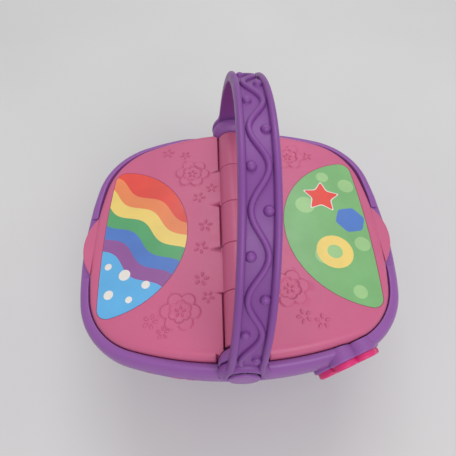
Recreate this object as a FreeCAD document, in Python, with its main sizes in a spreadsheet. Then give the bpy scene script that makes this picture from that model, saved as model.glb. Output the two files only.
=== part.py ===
import FreeCAD, Part
import math
import os
import re
import Sketcher
from FreeCAD import Placement, Rotation, Vector

doc = FreeCAD.newDocument("toy_basket")

# Sizes in millimetres and degrees, one cell each

SIZES = {
    "lid_half_width": 109,
    "lid_half_depth": 96.5,
    "end_arc_radius": 236,
    "side_arc_radius": 268,
    "corner_radius": 48,
    "foot_drop": 1.5,
    "base_thickness": 4,
    "shell_height": 97.5,
    "axis_above_rim": 13,
    "crown_above_axis": 3,
    "wall": 2.5,
    "rim_reach": 8.3,
    "rim_inset": 2.5,
    "rim_thickness": 5,
    "rim_round": 4,
    "lip_depth": 8.5,
    "lip_wall": 2.5,
    "curb_gap": 0.9,
    "curb_width": 4.1,
    "curb_height": 8,
    "curb_arch": 1190,
    "curb_round": 2,
    "wall_reach": 4,
    "base_inset": 18,
    "ledge_width": 3,
    "ledge_thickness": 2.5,
    "tub_wall": 2.2,
    "tub_depth": 66,
    "tub_top_inset": 6.5,
    "tub_floor_inset": 24,
    "bay_depth": 34,
    "lid_gap": 0.3,
    "lid_wall": 2.4,
    "lid_round": 3,
    "crown_radius": 560,
    "barrel_radius": 11,
    "barrel_wall": 2.4,
    "barrel_margin": 7,
    "knuckle_gap": 0.4,
    "swing_gap": 0.6,
    "tab_half_length": 25,
    "tab_shift": 4.5,
    "tab_reach": 6.6,
    "tab_thickness": 4,
    "label_width": 62,
    "label_half_height": 64,
    "label_edge_inset": 11.2,
    "label_shift": 2,
    "label_round": 8,
    "label_thickness": 0.4,
    "rod_radius": 2,
    "rod_gap": 0.05,
    "post_radius": 15.5,
    "post_round": 9,
    "post_gap": 0.4,
    "post_reach": 3,
    "stub_radius": 6,
    "pivot_gap": 0.06,
    "foot_gap": 0.3,
    "foot_radius": 16,
    "foot_thickness": 7.4,
    "strap_half_width": 10.9,
    "strap_thickness": 4,
    "flange_width": 3.6,
    "flange_height": 2.4,
    "handle_lean": 6.3,
    "wave_half_step": 12.13,
    "wave_start": 12.9,
    "wave_reach": 4.6,
    "wave_half_width": 1.5,
    "wave_height": 1.4,
    "bead_radius": 2.6,
    "washer_radius": 9,
    "washer_thickness": 1.2,
    "cap_radius": 9.7,
    "button_turn": 21.5,
    "button_shift": 7,
    "button_drop": 15,
    "button_ring": 14.2,
    "button_petal": 8.4,
    "button_thickness": 6.5,
    "button_travel": 1.5,
    "bezel_ring": 14.2,
    "bezel_petal": 10.2,
    "bezel_reach": 6.6,
    "pocket_depth": 4.2,
    "face_lean": 7,
    "stem_radius": 5,
    "grille_turn": 13,
    "grille_drop": 33,
    "grille_ring": 13,
    "grille_petal": 8.2,
    "grille_reach": 6.5,
    "speaker_radius": 18.5,
    "speaker_depth": 12,
    "cell_radius": 7.25,
    "cell_length": 50.5,
    "cell_pitch": 15.2,
    "bay_end_room": 3.6,
    "door_thickness": 2.4,
    "door_overlap": 2.2,
    "box_wall": 2,
    "box_shift": 24,
    "screw_radius": 1.5,
    "screw_head_radius": 3.2,
    "screw_head_height": 2,
    "pad_radius": 7,
    "pad_sink": 1.5,
    "board_thickness": 1.6,
    "board_length": 64,
    "board_width": 34,
    "board_lift": 5,
    "board_shift": 34,
    "slide_travel": 4,
}

sheet = doc.addObject("Spreadsheet::Sheet", "Sizes")
for row, (alias, number) in enumerate(SIZES.items(), start=1):
    sheet.set(f"A{row}", alias)
    sheet.set(f"B{row}", str(number))
    sheet.setAlias(f"B{row}", alias)
doc.recompute()


def value(expression):
    """Number for an expression written with the names of cells."""
    return float(sheet.evalExpression(expression))


def cells(expression):
    """The same expression with each cell named through the sheet."""
    return re.sub(r"[a-z][a-z_]*", r"Sizes.\g<0>", expression)


# Derived positions

shell_bottom = value("foot_drop + base_thickness")
rim_top = value("foot_drop + base_thickness + shell_height")
axis_z = rim_top + value("axis_above_rim")
rim_under = rim_top - value("rim_thickness")
ledge_under = rim_under - value("ledge_thickness")
half_depth = value("lid_half_depth")
corner_radius = value("corner_radius")
wall_slope = value("wall_reach + base_inset") / (rim_under - shell_bottom)
barrel_end = half_depth - value("barrel_margin")
post_inner = barrel_end + value("post_gap")
post_outer = half_depth + value("post_reach")
foot_inner = post_outer + value("foot_gap")
foot_outer = foot_inner + value("foot_thickness")
AXIS = Vector(0, 0, axis_z)
UP = Vector(0, 0, 1)
ALONG = Vector(0, 1, 0)
ACROSS = Vector(1, 0, 0)


# Outline of eight tangent arcs shared by lids, rim, tub and base


def corner_centre():
    """Centre of the corner arc in the quarter with x and y above zero."""
    end_y = half_depth - value("end_arc_radius")
    side_x = value("lid_half_width - side_arc_radius")
    end_reach = value("end_arc_radius - corner_radius")
    side_reach = value("side_arc_radius - corner_radius")
    span = math.hypot(side_x, end_y)
    along = (end_reach**2 - side_reach**2 + span**2) / (2 * span)
    aside = math.sqrt(end_reach**2 - along**2)
    ux = side_x / span
    uy = -end_y / span
    return Vector(along * ux + aside * uy, end_y + along * uy - aside * ux, 0)


CORNER = corner_centre()


def outline(offset, z):
    """Closed wire at the given distance outside the lids' outline."""
    radius = corner_radius + offset
    to_end = CORNER - Vector(0, half_depth - value("end_arc_radius"), 0)
    to_side = CORNER - Vector(value("lid_half_width - side_arc_radius"), 0, 0)
    to_end.normalize()
    to_side.normalize()
    middle = to_end + to_side
    middle.normalize()
    end = CORNER + to_end * radius
    mid = CORNER + middle * radius
    side = CORNER + to_side * radius
    right = Vector(value("lid_half_width") + offset, 0, 0)
    back = Vector(0, half_depth + offset, 0)
    quarter = [right, side, mid, end, back]
    ring = list(quarter)
    ring += [Vector(-p.x, p.y, 0) for p in reversed(quarter[:-1])]
    ring += [Vector(-p.x, -p.y, 0) for p in quarter[1:]]
    ring += [Vector(p.x, -p.y, 0) for p in reversed(quarter[1:-1])]
    ring = [p + UP * z for p in ring]
    starts = range(1, len(ring), 2)
    arcs = [Part.Arc(ring[i - 2], ring[i - 1], ring[i]) for i in starts]
    return Part.Wire([arc.toShape() for arc in arcs])


def prism(offset, low, high):
    """Upright solid inside one outline."""
    return Part.Face(outline(offset, low)).extrude(UP * (high - low))


def taper(low_offset, low, high_offset, high):
    """Solid between two outlines at two heights."""
    return Part.makeLoft([outline(low_offset, low), outline(high_offset, high)], True, True)


def wall_offset(z):
    """Distance of the shell's outer wall outside the lids' outline."""
    return -value("base_inset") + wall_slope * (z - shell_bottom)


# Small shape helpers


def box(x0, x1, y0, y1, z0, z1):
    return Part.makeBox(x1 - x0, y1 - y0, z1 - z0, Vector(x0, y0, z0))


def rod_along(radius, y0, y1):
    """Cylinder on the hinge axis between two values of y, with its seam below."""
    lying = Rotation(UP * -1, ACROSS * -1, ALONG, "ZXY")
    return placed(Part.makeCylinder(radius, y1 - y0), Placement(Vector(0, y0, axis_z), lying))


def arch(top, radius):
    """Long cylinder along the hinge that gives a gentle roof line, with its seam below."""
    lying = Rotation(UP * -1, ACROSS * -1, ALONG, "ZXY")
    return placed(Part.makeCylinder(radius, 300), Placement(Vector(0, -150, top - radius), lying))


def flower(count, ring, petal, low, high):
    """Solid of round petals about the local Z axis."""
    half = math.pi / count
    cusp = ring * math.cos(half) + math.sqrt(petal**2 - (ring * math.sin(half)) ** 2)
    arcs = []
    for i in range(count):
        turn = 2 * half * i
        start = Vector(cusp * math.cos(turn - half), cusp * math.sin(turn - half), low)
        tip = Vector((ring + petal) * math.cos(turn), (ring + petal) * math.sin(turn), low)
        end = Vector(cusp * math.cos(turn + half), cusp * math.sin(turn + half), low)
        arcs.append(Part.Arc(start, tip, end).toShape())
    return Part.Face(Part.Wire(arcs)).extrude(UP * (high - low))


def rounded(solid, radius, choose):
    """Fillet the edges that the chooser accepts."""
    return solid.makeFillet(radius, [edge for edge in solid.Edges if choose(edge)])


def placed(shape, placement):
    moved = shape.copy()
    moved.Placement = placement.multiply(moved.Placement)
    return moved


def feature(label, shape, placement=None):
    """Document object for a form that sketches and primitives do not give."""
    obj = doc.addObject("Part::Feature", label)
    obj.Label = label
    merged = shape.removeSplitter()
    obj.Shape = merged if merged.isValid() else shape
    if placement is not None:
        obj.Placement = placement
    return obj


# Sketched bodies with every corner bound to the sheet


def hold(sketch, kind, geometry, expression):
    """Bind one coordinate of a corner to an expression."""
    if expression == "0":
        axis = -2 if kind == "DistanceX" else -1
        sketch.addConstraint(Sketcher.Constraint("PointOnObject", geometry, 1, axis))
        return
    number = value(expression)
    index = sketch.addConstraint(Sketcher.Constraint(kind, -1, 1, geometry, 1, number))
    sketch.setExpression(f"Constraints[{index}]", cells(expression))


def profile(body, role, corners):
    """Closed line sketch on one origin plane of a body."""
    sketch = body.newObject("Sketcher::SketchObject", body.Name + "_profile")
    plane = next(f for f in body.Origin.OriginFeatures if f.Role == role)
    sketch.AttachmentSupport = [(plane, "")]
    sketch.MapMode = "FlatFace"
    points = [Vector(value(u), value(v), 0) for u, v in corners]
    for i, point in enumerate(points):
        sketch.addGeometry(Part.LineSegment(point, points[(i + 1) % len(points)]))
    for i in range(len(points)):
        sketch.addConstraint(Sketcher.Constraint("Coincident", i, 2, (i + 1) % len(points), 1))
    for i, (u, v) in enumerate(corners):
        hold(sketch, "DistanceX", i, u)
        hold(sketch, "DistanceY", i, v)
    return sketch


def turned(label, corners):
    """Body turned about Z from a profile of radius and height."""
    body = doc.addObject("PartDesign::Body", label)
    body.Label = label
    sketch = profile(body, "XZ_Plane", corners)
    turn = body.newObject("PartDesign::Revolution", label + "_turn")
    turn.Profile = sketch
    turn.ReferenceAxis = (sketch, ["V_Axis"])
    turn.Angle = 360
    doc.recompute()
    return body


def plate(label, corners, thickness):
    """Body padded up Z from a sketched outline."""
    body = doc.addObject("PartDesign::Body", label)
    body.Label = label
    sketch = profile(body, "XY_Plane", corners)
    pad = body.newObject("PartDesign::Pad", label + "_pad")
    pad.Profile = sketch
    pad.setExpression("Length", cells(thickness))
    doc.recompute()
    return body


def rectangle(half_x, half_y):
    return [
        (f"-({half_x})", f"-({half_y})"),
        (half_x, f"-({half_y})"),
        (half_x, half_y),
        (f"-({half_x})", half_y),
    ]


def group(label, body, placements):
    """Separate copies of one body kept together as one sub-part."""
    copies = [placed(body.Shape, placement) for placement in placements]
    obj = doc.addObject("Part::Feature", label)
    obj.Label = label
    obj.Shape = Part.makeCompound(copies)
    return obj


def at(x, y, z):
    return Placement(Vector(x, y, z), Rotation())


def facing(x, y, z, direction):
    """Placement that turns local Z to a direction."""
    return Placement(Vector(x, y, z), Rotation(UP, direction))


# Frames of the flower button and the speaker grille on the front wall

turn = math.radians(value("button_turn"))
button_out = Vector(math.sin(turn), -math.cos(turn), 0)
button_side = Vector(math.cos(turn), math.sin(turn), 0)
front_corner = Vector(CORNER.x, -CORNER.y, 0)
button_origin = front_corner + button_out * corner_radius - button_side * value("button_shift")
button_origin.z = rim_top - value("button_drop")
BUTTON = Placement(button_origin, Rotation(button_side, UP, button_out, "ZXY"))

turn = math.radians(value("grille_turn"))
tilt = math.atan(wall_slope)
grille_z = rim_top - value("grille_drop")
grille_radius = value("end_arc_radius") + wall_offset(grille_z)
grille_out = Vector(-math.sin(turn) * math.cos(tilt), -math.cos(turn) * math.cos(tilt), -math.sin(tilt))
grille_side = Vector(math.cos(turn), -math.sin(turn), 0)
grille_origin = Vector(
    -grille_radius * math.sin(turn),
    value("end_arc_radius") - half_depth - grille_radius * math.cos(turn),
    grille_z,
)
GRILLE = Placement(grille_origin, Rotation(grille_side, grille_out.cross(grille_side), grille_out, "ZXY"))


def on_button(shape):
    return placed(shape, BUTTON)


def on_grille(shape):
    return placed(shape, GRILLE)


# Hinge post profile, also used with a gap to clear the lids


def post_form(gap, outer):
    """Round-nosed form about the hinge axis with its footing, at the back."""
    nose = value("post_radius - post_round")
    inner = post_inner - gap
    shoulder = post_inner + value("post_round")
    bend = (value("post_round") + gap) * math.sqrt(0.5)
    corners = [
        Vector(0, inner, axis_z),
        Vector(nose, inner, axis_z),
        Vector(nose + bend, shoulder - bend, axis_z),
        Vector(value("post_radius") + gap, shoulder, axis_z),
        Vector(value("post_radius") + gap, outer, axis_z),
        Vector(0, outer, axis_z),
    ]
    edges = [
        Part.makeLine(corners[0], corners[1]),
        Part.Arc(corners[1], corners[2], corners[3]).toShape(),
        Part.makeLine(corners[3], corners[4]),
        Part.makeLine(corners[4], corners[5]),
        Part.makeLine(corners[5], corners[0]),
    ]
    face = Part.Face(Part.Wire(edges))
    dome = face.revolve(AXIS, ALONG, 360)
    half = face.extrude(UP * -value("axis_above_rim"))
    other = half.mirror(AXIS, ACROSS)
    return dome.multiFuse([half, other])


def at_front(shape):
    return shape.mirror(Vector(0, 0, 0), ALONG)


def mirrored(shape):
    """The same form on the other side of the hinge."""
    return shape.mirror(Vector(0, 0, 0), ACROSS)


# Basket shell


def above(height):
    """Chooser of the edges that lie at or over a height."""
    return lambda edge: min(v.Z for v in edge.Vertexes) > height - 0.01


block = prism(value("rim_reach"), rim_top - value("lip_depth"), rim_top)
block = rounded(block, value("rim_round"), above(rim_top))

# Raised curb round the lids, open at the finger tabs and the hinge posts
curb_top = rim_top + value("curb_height")
curb = prism(value("curb_gap + curb_width"), rim_top - 1, curb_top + 5)
curb = curb.common(arch(curb_top, value("curb_arch")))
curb = rounded(curb, value("curb_round"), above(rim_top + 0.5))
curb = curb.cut(prism(value("curb_gap"), rim_top - 2, curb_top + 6))
tab_middle = -value("tab_shift")
tab_room = value("tab_half_length") + 1
post_room = value("post_radius") + 0.3
curb = curb.cut(box(-300, 300, tab_middle - tab_room, tab_middle + tab_room, rim_top, curb_top + 1))
curb = curb.cut(box(-post_room, post_room, -300, 300, rim_top, curb_top + 1))

# The curb also gives way to the bezel, whose two upper petals fill the opening
petal_x = value("bezel_ring") * 0.5
petal_y = value("bezel_ring") * math.sqrt(0.75)
bezel_room = flower(6, value("bezel_ring"), value("bezel_petal") + 0.2, -15, 15)
curb = curb.cut(on_button(bezel_room.fuse(box(-petal_x, petal_x, petal_y, 60, -15, 15))))
block = block.fuse(curb)

wall_solid = taper(wall_offset(shell_bottom), shell_bottom, value("wall_reach"), rim_under)
mass = block.fuse(wall_solid)
groove_outline = value("rim_reach - lip_wall")
groove = prism(groove_outline, rim_top - value("lip_depth") - 1, rim_under)
shell = block.cut(groove).fuse(wall_solid)
cavity_low = shell_bottom - 1
cavity = taper(
    wall_offset(cavity_low) - value("wall"),
    cavity_low,
    wall_offset(ledge_under) - value("wall"),
    ledge_under,
)
ledge_inset = value("rim_inset + ledge_width")
shell = shell.cut(cavity)
shell = shell.cut(prism(-ledge_inset, ledge_under - 1, rim_under))
shell = shell.cut(prism(-value("rim_inset"), rim_under, rim_top + 1))

# The rim is hollowed for the feet of the handle
scoop = rod_along(value("foot_radius") + 0.8, post_outer, post_outer + 20)
shell = shell.cut(scoop).cut(at_front(scoop))

# Screw holes under the hinge posts
post_screw_x = value("post_radius") * 0.55
post_screw_y = half_depth - 0.7
POST_SCREWS = [(x, y) for x in (-post_screw_x, post_screw_x) for y in (-post_screw_y, post_screw_y)]
post_screw_low = ledge_under
post_head = value("screw_head_radius") - 0.7
for x, y in POST_SCREWS:
    hole = Part.makeCylinder(value("screw_radius"), rim_top, Vector(x, y, post_screw_low - 1))
    pocket = Part.makeCylinder(post_head + 0.2, 4, Vector(x, y, post_screw_low - 4))
    shell = shell.cut(hole).cut(pocket)

# Seat, stem hole and board bosses of the flower button
seat_depth = 1.2
seat = on_button(flower(6, value("bezel_ring"), value("bezel_petal") + 0.1, seat_depth, seat_depth + 20))
stem_hole = on_button(Part.makeCylinder(value("stem_radius") + 2, 24, Vector(0, 0, -12)))
board_back = -11
boss_x = 12
bosses = [
    on_button(Part.makeCylinder(3, -board_back, Vector(x, -4, board_back))).common(wall_solid)
    for x in (-boss_x, boss_x)
]
shell = shell.cut(seat).multiFuse(bosses).cut(stem_hole)

# Seat and sound opening of the speaker grille
grille_sink = 1
grille_seat = flower(6, value("grille_ring"), value("grille_petal") + 0.1, -grille_sink, 12)
sound_hole = Part.makeCylinder(value("speaker_radius") * 0.8, 14, Vector(0, 0, -8))
seat_z = -3.5
speaker_seat = Part.makeCylinder(value("speaker_radius") + 0.3, 20, Vector(0, 0, seat_z - 20))
for cutter in (grille_seat, sound_hole, speaker_seat):
    shell = shell.cut(on_grille(cutter))
feature("basket_shell", shell)

# Inner tub with a closed bay for the works behind its front wall

tub_floor = rim_under - value("tub_depth")
tub_side = value("tub_wall")
front_plane = half_depth - value("bay_depth")
tub = taper(-value("tub_floor_inset"), tub_floor, -value("tub_top_inset"), rim_under)
tub = tub.common(box(-300, 300, -front_plane, 300, 0, 300))
flange = prism(-value("rim_inset") - 0.3, rim_under, rim_under + tub_side)
hollow = taper(
    -value("tub_floor_inset") - tub_side,
    tub_floor + tub_side,
    -value("tub_top_inset") - tub_side,
    rim_under + tub_side + 0.01,
)
hollow = hollow.common(box(-300, 300, -front_plane + tub_side, 300, 0, 300))
tub = tub.fuse(flange).cut(hollow)

# Screw posts under the tub that the base is pulled up to
BASE_SCREWS = [(x * 72, y * 18) for x in (-1, 1) for y in (-1, 1)]
base_head = 2.4
for x, y in BASE_SCREWS:
    tub = tub.fuse(Part.makeCylinder(4.5, tub_floor - shell_bottom + 1, Vector(x, y, shell_bottom)))
for x, y in BASE_SCREWS:
    tub = tub.cut(Part.makeCylinder(value("screw_radius"), 16, Vector(x, y, shell_bottom - 1)))
feature("inner_tub", tub)

# Base plate with battery box, board posts, screw holes, pad seats and slide slot

base_low = value("foot_drop")
box_y = value("box_shift")
bay_half_x = value("cell_length / 2 + bay_end_room")
bay_half_y = value("cell_pitch + cell_radius") + 0.6
door_top = base_low + value("door_thickness")
cell_z = door_top + value("cell_radius") + 0.2
roof_z = cell_z + value("cell_radius") + 0.5
door_half_x = bay_half_x + value("door_overlap")
door_half_y = bay_half_y + value("door_overlap")
door_tongue = 9
box_side = value("box_wall")
base_edge = wall_offset(shell_bottom)
base = prism(base_edge, base_low, shell_bottom)
base = base.makeChamfer(1.2, [e for e in base.Edges if max(v.Z for v in e.Vertexes) < base_low + 0.01])
lip_edge = base_edge - value("wall") - 0.3
lip = prism(lip_edge, shell_bottom, shell_bottom + 4)
lip = lip.cut(prism(lip_edge - 2, shell_bottom, shell_bottom + 4))
case = box(
    -bay_half_x - box_side,
    bay_half_x + box_side,
    box_y - bay_half_y - box_side,
    box_y + bay_half_y + box_side,
    shell_bottom,
    roof_z + box_side,
)
door_screw_y = box_y - door_half_y - door_tongue / 2
boss = Part.makeCylinder(4, 8, Vector(0, door_screw_y, shell_bottom))
base = base.multiFuse([lip, case, boss])
bay = box(-bay_half_x, bay_half_x, box_y - bay_half_y, box_y + bay_half_y, door_top - 1, roof_z)
door_gap = 0.25
door_seat = box(
    -door_half_x - door_gap,
    door_half_x + door_gap,
    box_y - door_half_y - door_tongue - door_gap,
    box_y + door_half_y + door_gap,
    base_low - 1,
    door_top,
)
base = base.cut(bay).cut(door_seat)
base = base.cut(Part.makeCylinder(value("screw_radius"), 12, Vector(0, door_screw_y, base_low)))
head_room = value("screw_head_radius") + 0.4
for x, y in BASE_SCREWS:
    base = base.cut(Part.makeCylinder(value("screw_radius") + 0.2, 10, Vector(x, y, 0)))
    base = base.cut(Part.makeCylinder(head_room, base_low + base_head, Vector(x, y, 0)))
PADS = [(x * 58, y * 48) for x in (-1, 1) for y in (-1, 1)]
pad_seat = base_low + value("pad_sink")
for x, y in PADS:
    base = base.cut(Part.makeCylinder(value("pad_radius") + 0.1, pad_seat, Vector(x, y, 0)))
board_y = -value("board_shift")
board_z = shell_bottom + value("board_lift")
board_half = (value("board_length") / 2, value("board_width") / 2)
hole_x = board_half[0] - 4
hole_y = board_half[1] - 4
BOARD_SCREWS = [(x * hole_x, board_y + y * hole_y) for x in (-1, 1) for y in (-1, 1)]
for x, y in BOARD_SCREWS:
    base = base.fuse(Part.makeCylinder(3, value("board_lift"), Vector(x, y, shell_bottom)))
for x, y in BOARD_SCREWS:
    base = base.cut(Part.makeCylinder(1, value("board_lift") + 1, Vector(x, y, shell_bottom - 1)))
slide_x = board_half[0] + 17
slide_y = board_y
slide_half = value("slide_travel") + 4
pocket_half = slide_half + 3
slot_half = slide_half - 1.5
pocket_high = base_low + 1.6
pocket = box(slide_x - pocket_half, slide_x + pocket_half, slide_y - 6, slide_y + 6, 0, pocket_high)
slot = box(slide_x - slot_half, slide_x + slot_half, slide_y - 1.6, slide_y + 1.6, 0, shell_bottom + 1)
base = base.cut(pocket).cut(slot)
feature("base_plate", base)

# Battery door and its screw

door = doc.addObject("PartDesign::Body", "battery_door")
door.Label = "battery_door"
door_x = "cell_length / 2 + bay_end_room + door_overlap"
door_y = "cell_pitch + cell_radius + 0.6 + door_overlap"
outline_sketch = profile(
    door,
    "XY_Plane",
    [
        (f"-({door_x})", f"-({door_y}) - 9"),
        (door_x, f"-({door_y}) - 9"),
        (door_x, door_y),
        (f"-({door_x})", door_y),
    ],
)
door_pad = door.newObject("PartDesign::Pad", "battery_door_pad")
door_pad.Profile = outline_sketch
door_pad.setExpression("Length", cells("door_thickness"))
doc.recompute()

def door_cut(name, radius):
    """Round pocket for the door screw, through the door until a depth is set."""
    sketch = door.newObject("Sketcher::SketchObject", name + "_circle")
    plane = next(f for f in door.Origin.OriginFeatures if f.Role == "XY_Plane")
    sketch.AttachmentSupport = [(plane, "")]
    sketch.MapMode = "FlatFace"
    centre = Vector(0, door_screw_y - box_y, 0)
    sketch.addGeometry(Part.Circle(centre, UP, value(radius)))
    index = sketch.addConstraint(Sketcher.Constraint("Radius", 0, value(radius)))
    sketch.setExpression(f"Constraints[{index}]", cells(radius))
    sketch.addConstraint(Sketcher.Constraint("PointOnObject", 0, 3, -2))
    index = sketch.addConstraint(Sketcher.Constraint("DistanceY", -1, 1, 0, 3, centre.y))
    sketch.setExpression(f"Constraints[{index}]", cells(f"-({door_y}) - 4.5"))
    pocket = door.newObject("PartDesign::Pocket", name)
    pocket.Profile = sketch
    pocket.Type = 1
    pocket.Midplane = True
    doc.recompute()
    return pocket


door_cut("battery_door_hole", "screw_radius + 0.2")
head_sink = 1.2
head_pocket = door_cut("battery_door_head_seat", "screw_head_radius + 0.3")
head_pocket.Midplane = False
head_pocket.Type = 0
head_pocket.Reversed = True
head_pocket.Length = head_sink
doc.recompute()
door.Placement = at(0, box_y, base_low)


def screw(label, length, head="screw_head_radius"):
    """Round-headed screw with its head below z = 0 and its shank up Z."""
    return turned(
        label,
        [
            ("0", "-screw_head_height"),
            (f"{head} - 0.8", "-screw_head_height"),
            (head, "-screw_head_height / 2"),
            (head, "0"),
            ("screw_radius - 0.05", "0"),
            ("screw_radius - 0.05", f"{length} - 1"),
            ("0", f"{length}"),
        ],
    )


door_screw = screw("door_screw", "door_thickness + 6")
door_screw.Placement = at(0, door_screw_y, base_low + head_sink)
long_screw = screw("long_screw", "base_thickness + 8")
group("base_screws", long_screw, [at(x, y, base_low + base_head) for x, y in BASE_SCREWS])
post_screw = screw("post_screw", "ledge_thickness + rim_thickness + 8", "screw_head_radius - 0.7")
group("post_screws", post_screw, [at(x, y, post_screw_low) for x, y in POST_SCREWS])

# Rubber pads under the base

pad = turned(
    "pad",
    [
        ("0", "0"),
        ("pad_radius - 0.8", "0"),
        ("pad_radius", "0.8"),
        ("pad_radius", "foot_drop + pad_sink"),
        ("0", "foot_drop + pad_sink"),
    ],
)
group("rubber_feet", pad, [at(x, y, 0) for x, y in PADS])

# Three cells and their contacts

cell = turned(
    "cell",
    [
        ("0", "0"),
        ("cell_radius - 0.6", "0"),
        ("cell_radius", "0.6"),
        ("cell_radius", "cell_length - 1.6"),
        ("cell_radius - 0.6", "cell_length - 1"),
        ("2.75", "cell_length - 1"),
        ("2.75", "cell_length"),
        ("0", "cell_length"),
    ],
)
cell_half = value("cell_length") / 2
CELL_ROWS = [box_y + step * value("cell_pitch") for step in (-1, 0, 1)]
cell_places = []
for i, y in enumerate(CELL_ROWS):
    way = 1 if i % 2 == 0 else -1
    cell_places.append(facing(-way * cell_half, y, cell_z, ACROSS * way))
group("batteries", cell, cell_places)
contact = turned(
    "contact",
    [
        ("0", "0"),
        ("5", "0"),
        ("5", "0.5"),
        ("3.4", "0.5"),
        ("1.8", "bay_end_room - 0.1"),
        ("0", "bay_end_room - 0.1"),
    ],
)
contact_places = []
for y in CELL_ROWS:
    contact_places.append(facing(-bay_half_x, y, cell_z, ACROSS))
    contact_places.append(facing(bay_half_x, y, cell_z, ACROSS * -1))
group("battery_contacts", contact, contact_places)

# Main board, its screws and the power switch

blank = doc.addObject("Part::Box", "board_blank")
blank.setExpression("Length", cells("board_length"))
blank.setExpression("Width", cells("board_width"))
blank.setExpression("Height", cells("board_thickness"))
blank.Placement = at(-board_half[0], board_y - board_half[1], board_z)
drills = []
for i, (x, y) in enumerate(BOARD_SCREWS):
    drill = doc.addObject("Part::Cylinder", f"board_drill_{i}")
    drill.Radius = 1.2
    drill.setExpression("Height", cells("board_thickness + 2"))
    drill.Placement = at(x, y, board_z - 1)
    drills.append(drill)
drilled = doc.addObject("Part::MultiFuse", "board_drills")
drilled.Shapes = drills
board = doc.addObject("Part::Cut", "circuit_board")
board.Base = blank
board.Tool = drilled
board.Label = "circuit_board"
board_screw = turned(
    "board_screw",
    [
        ("0", "1.4"),
        ("0", "-board_thickness - 3.6"),
        ("0.95", "-board_thickness - 3"),
        ("0.95", "0"),
        ("2", "0"),
        ("2", "1.4"),
    ],
)
board_top = board_z + value("board_thickness")
group("board_screws", board_screw, [at(x, y, board_top) for x, y in BOARD_SCREWS])
chip = plate("main_chip", rectangle("7", "7"), "2")
chip.Placement = at(-6, board_y, board_top)
terminal = plate("wire_terminal", rectangle("9", "3"), "6")
terminal.Placement = at(board_half[0] - 18, board_y + 8, board_top)

housing = doc.addObject("Part::Box", "switch_block")
housing.setExpression("Length", cells("slide_travel * 2 + 12"))
housing.Width = 9
housing.Height = 7
housing.Placement = at(slide_x - value("slide_travel") - 6, slide_y - 4.5, shell_bottom)
chamber = doc.addObject("Part::Box", "switch_chamber")
chamber.setExpression("Length", cells("slide_travel * 2 + 8"))
chamber.Width = 5
chamber.Height = 6
chamber.Placement = at(slide_x - value("slide_travel") - 4, slide_y - 2.5, shell_bottom - 1)
power_switch = doc.addObject("Part::Cut", "power_switch")
power_switch.Base = housing
power_switch.Tool = chamber
power_switch.Label = "power_switch"

# Slide knob of the power switch, drawn at the middle of its travel

knob_low = 0.5
knob = box(slide_x - 3.5, slide_x + 3.5, slide_y - 4.5, slide_y + 4.5, knob_low, base_low + 1.4)
for step in (-2, 0, 2):
    rib = slide_x + step
    knob = knob.cut(box(rib - 0.4, rib + 0.4, slide_y - 5, slide_y + 5, 0, knob_low + 0.5))
blade = box(slide_x - 2, slide_x + 2, slide_y - 1.4, slide_y + 1.4, base_low + 1.4, shell_bottom + 4.2)
feature("power_slider", knob.fuse(blade))

# Speaker behind the grille

speaker_frame = turned(
    "speaker_frame",
    [
        ("speaker_radius", "0"),
        ("speaker_radius", "-1.6"),
        ("speaker_radius * 0.86", "-1.6"),
        ("speaker_radius * 0.55", "-speaker_depth * 0.6"),
        ("0", "-speaker_depth * 0.6"),
        ("0", "-speaker_depth * 0.6 + 1.2"),
        ("speaker_radius * 0.5", "-speaker_depth * 0.6 + 1.2"),
        ("speaker_radius * 0.88", "0"),
    ],
)
speaker_frame.Placement = GRILLE.multiply(at(0, 0, seat_z))
speaker_cone = turned(
    "speaker_cone",
    [
        ("0", "-speaker_depth * 0.6 + 1.2"),
        ("speaker_radius * 0.47", "-speaker_depth * 0.6 + 1.2"),
        ("speaker_radius * 0.84", "-0.5"),
        ("speaker_radius * 0.8", "-0.2"),
        ("speaker_radius * 0.4", "-speaker_depth * 0.4"),
        ("0", "-speaker_depth * 0.3"),
    ],
)
speaker_cone.Placement = speaker_frame.Placement
speaker_magnet = turned(
    "speaker_magnet",
    [
        ("0", "-speaker_depth * 0.6"),
        ("speaker_radius * 0.52", "-speaker_depth * 0.6"),
        ("speaker_radius * 0.52", "-speaker_depth"),
        ("0", "-speaker_depth"),
    ],
)
speaker_magnet.Placement = speaker_frame.Placement
grille = flower(6, value("grille_ring"), value("grille_petal"), -grille_sink, value("grille_reach"))
grille = rounded(grille, 1.2, above(value("grille_reach")))
sound = [Vector(0, 0, -5)]
for count, ring in ((6, 5.5), (12, 11)):
    step = 2 * math.pi / count
    sound += [Vector(ring * math.cos(step * i), ring * math.sin(step * i), -5) for i in range(count)]
for point in sound:
    grille = grille.cut(Part.makeCylinder(1.5, 14, point))
feature("speaker_grille", on_grille(grille))

# Flower bezel, flower button and the parts behind it

bezel_reach = value("bezel_reach")
lean = math.tan(math.radians(value("face_lean")))


def fronted(solid, reach):
    """Cut a form of the button off at a front face that leans out at its top."""
    block = Part.makeBox(200, 200, 60, Vector(-100, -100, 0))
    tilted = Placement(Vector(0, 0, reach), Rotation(ACROSS, value("face_lean")))
    return solid.cut(placed(block, tilted))


bezel = flower(6, value("bezel_ring"), value("bezel_petal"), -14, bezel_reach + 10)
bezel = on_button(fronted(bezel, bezel_reach))
bezel = bezel.cut(mass.cut(seat)).cut(prism(seat_depth - 0.3, rim_top - 1, rim_top + 20))
pocket_floor = bezel_reach - value("pocket_depth")
pocket = flower(6, value("button_ring"), value("button_petal") + 0.5, pocket_floor, bezel_reach + 12)
bezel = bezel.cut(on_button(pocket))
bezel = bezel.cut(on_button(Part.makeCylinder(value("stem_radius") + 0.06, 40, Vector(0, 0, -20))))
bezel = max(bezel.Solids, key=lambda solid: solid.Volume)
feature("flower_bezel", bezel)

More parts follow.
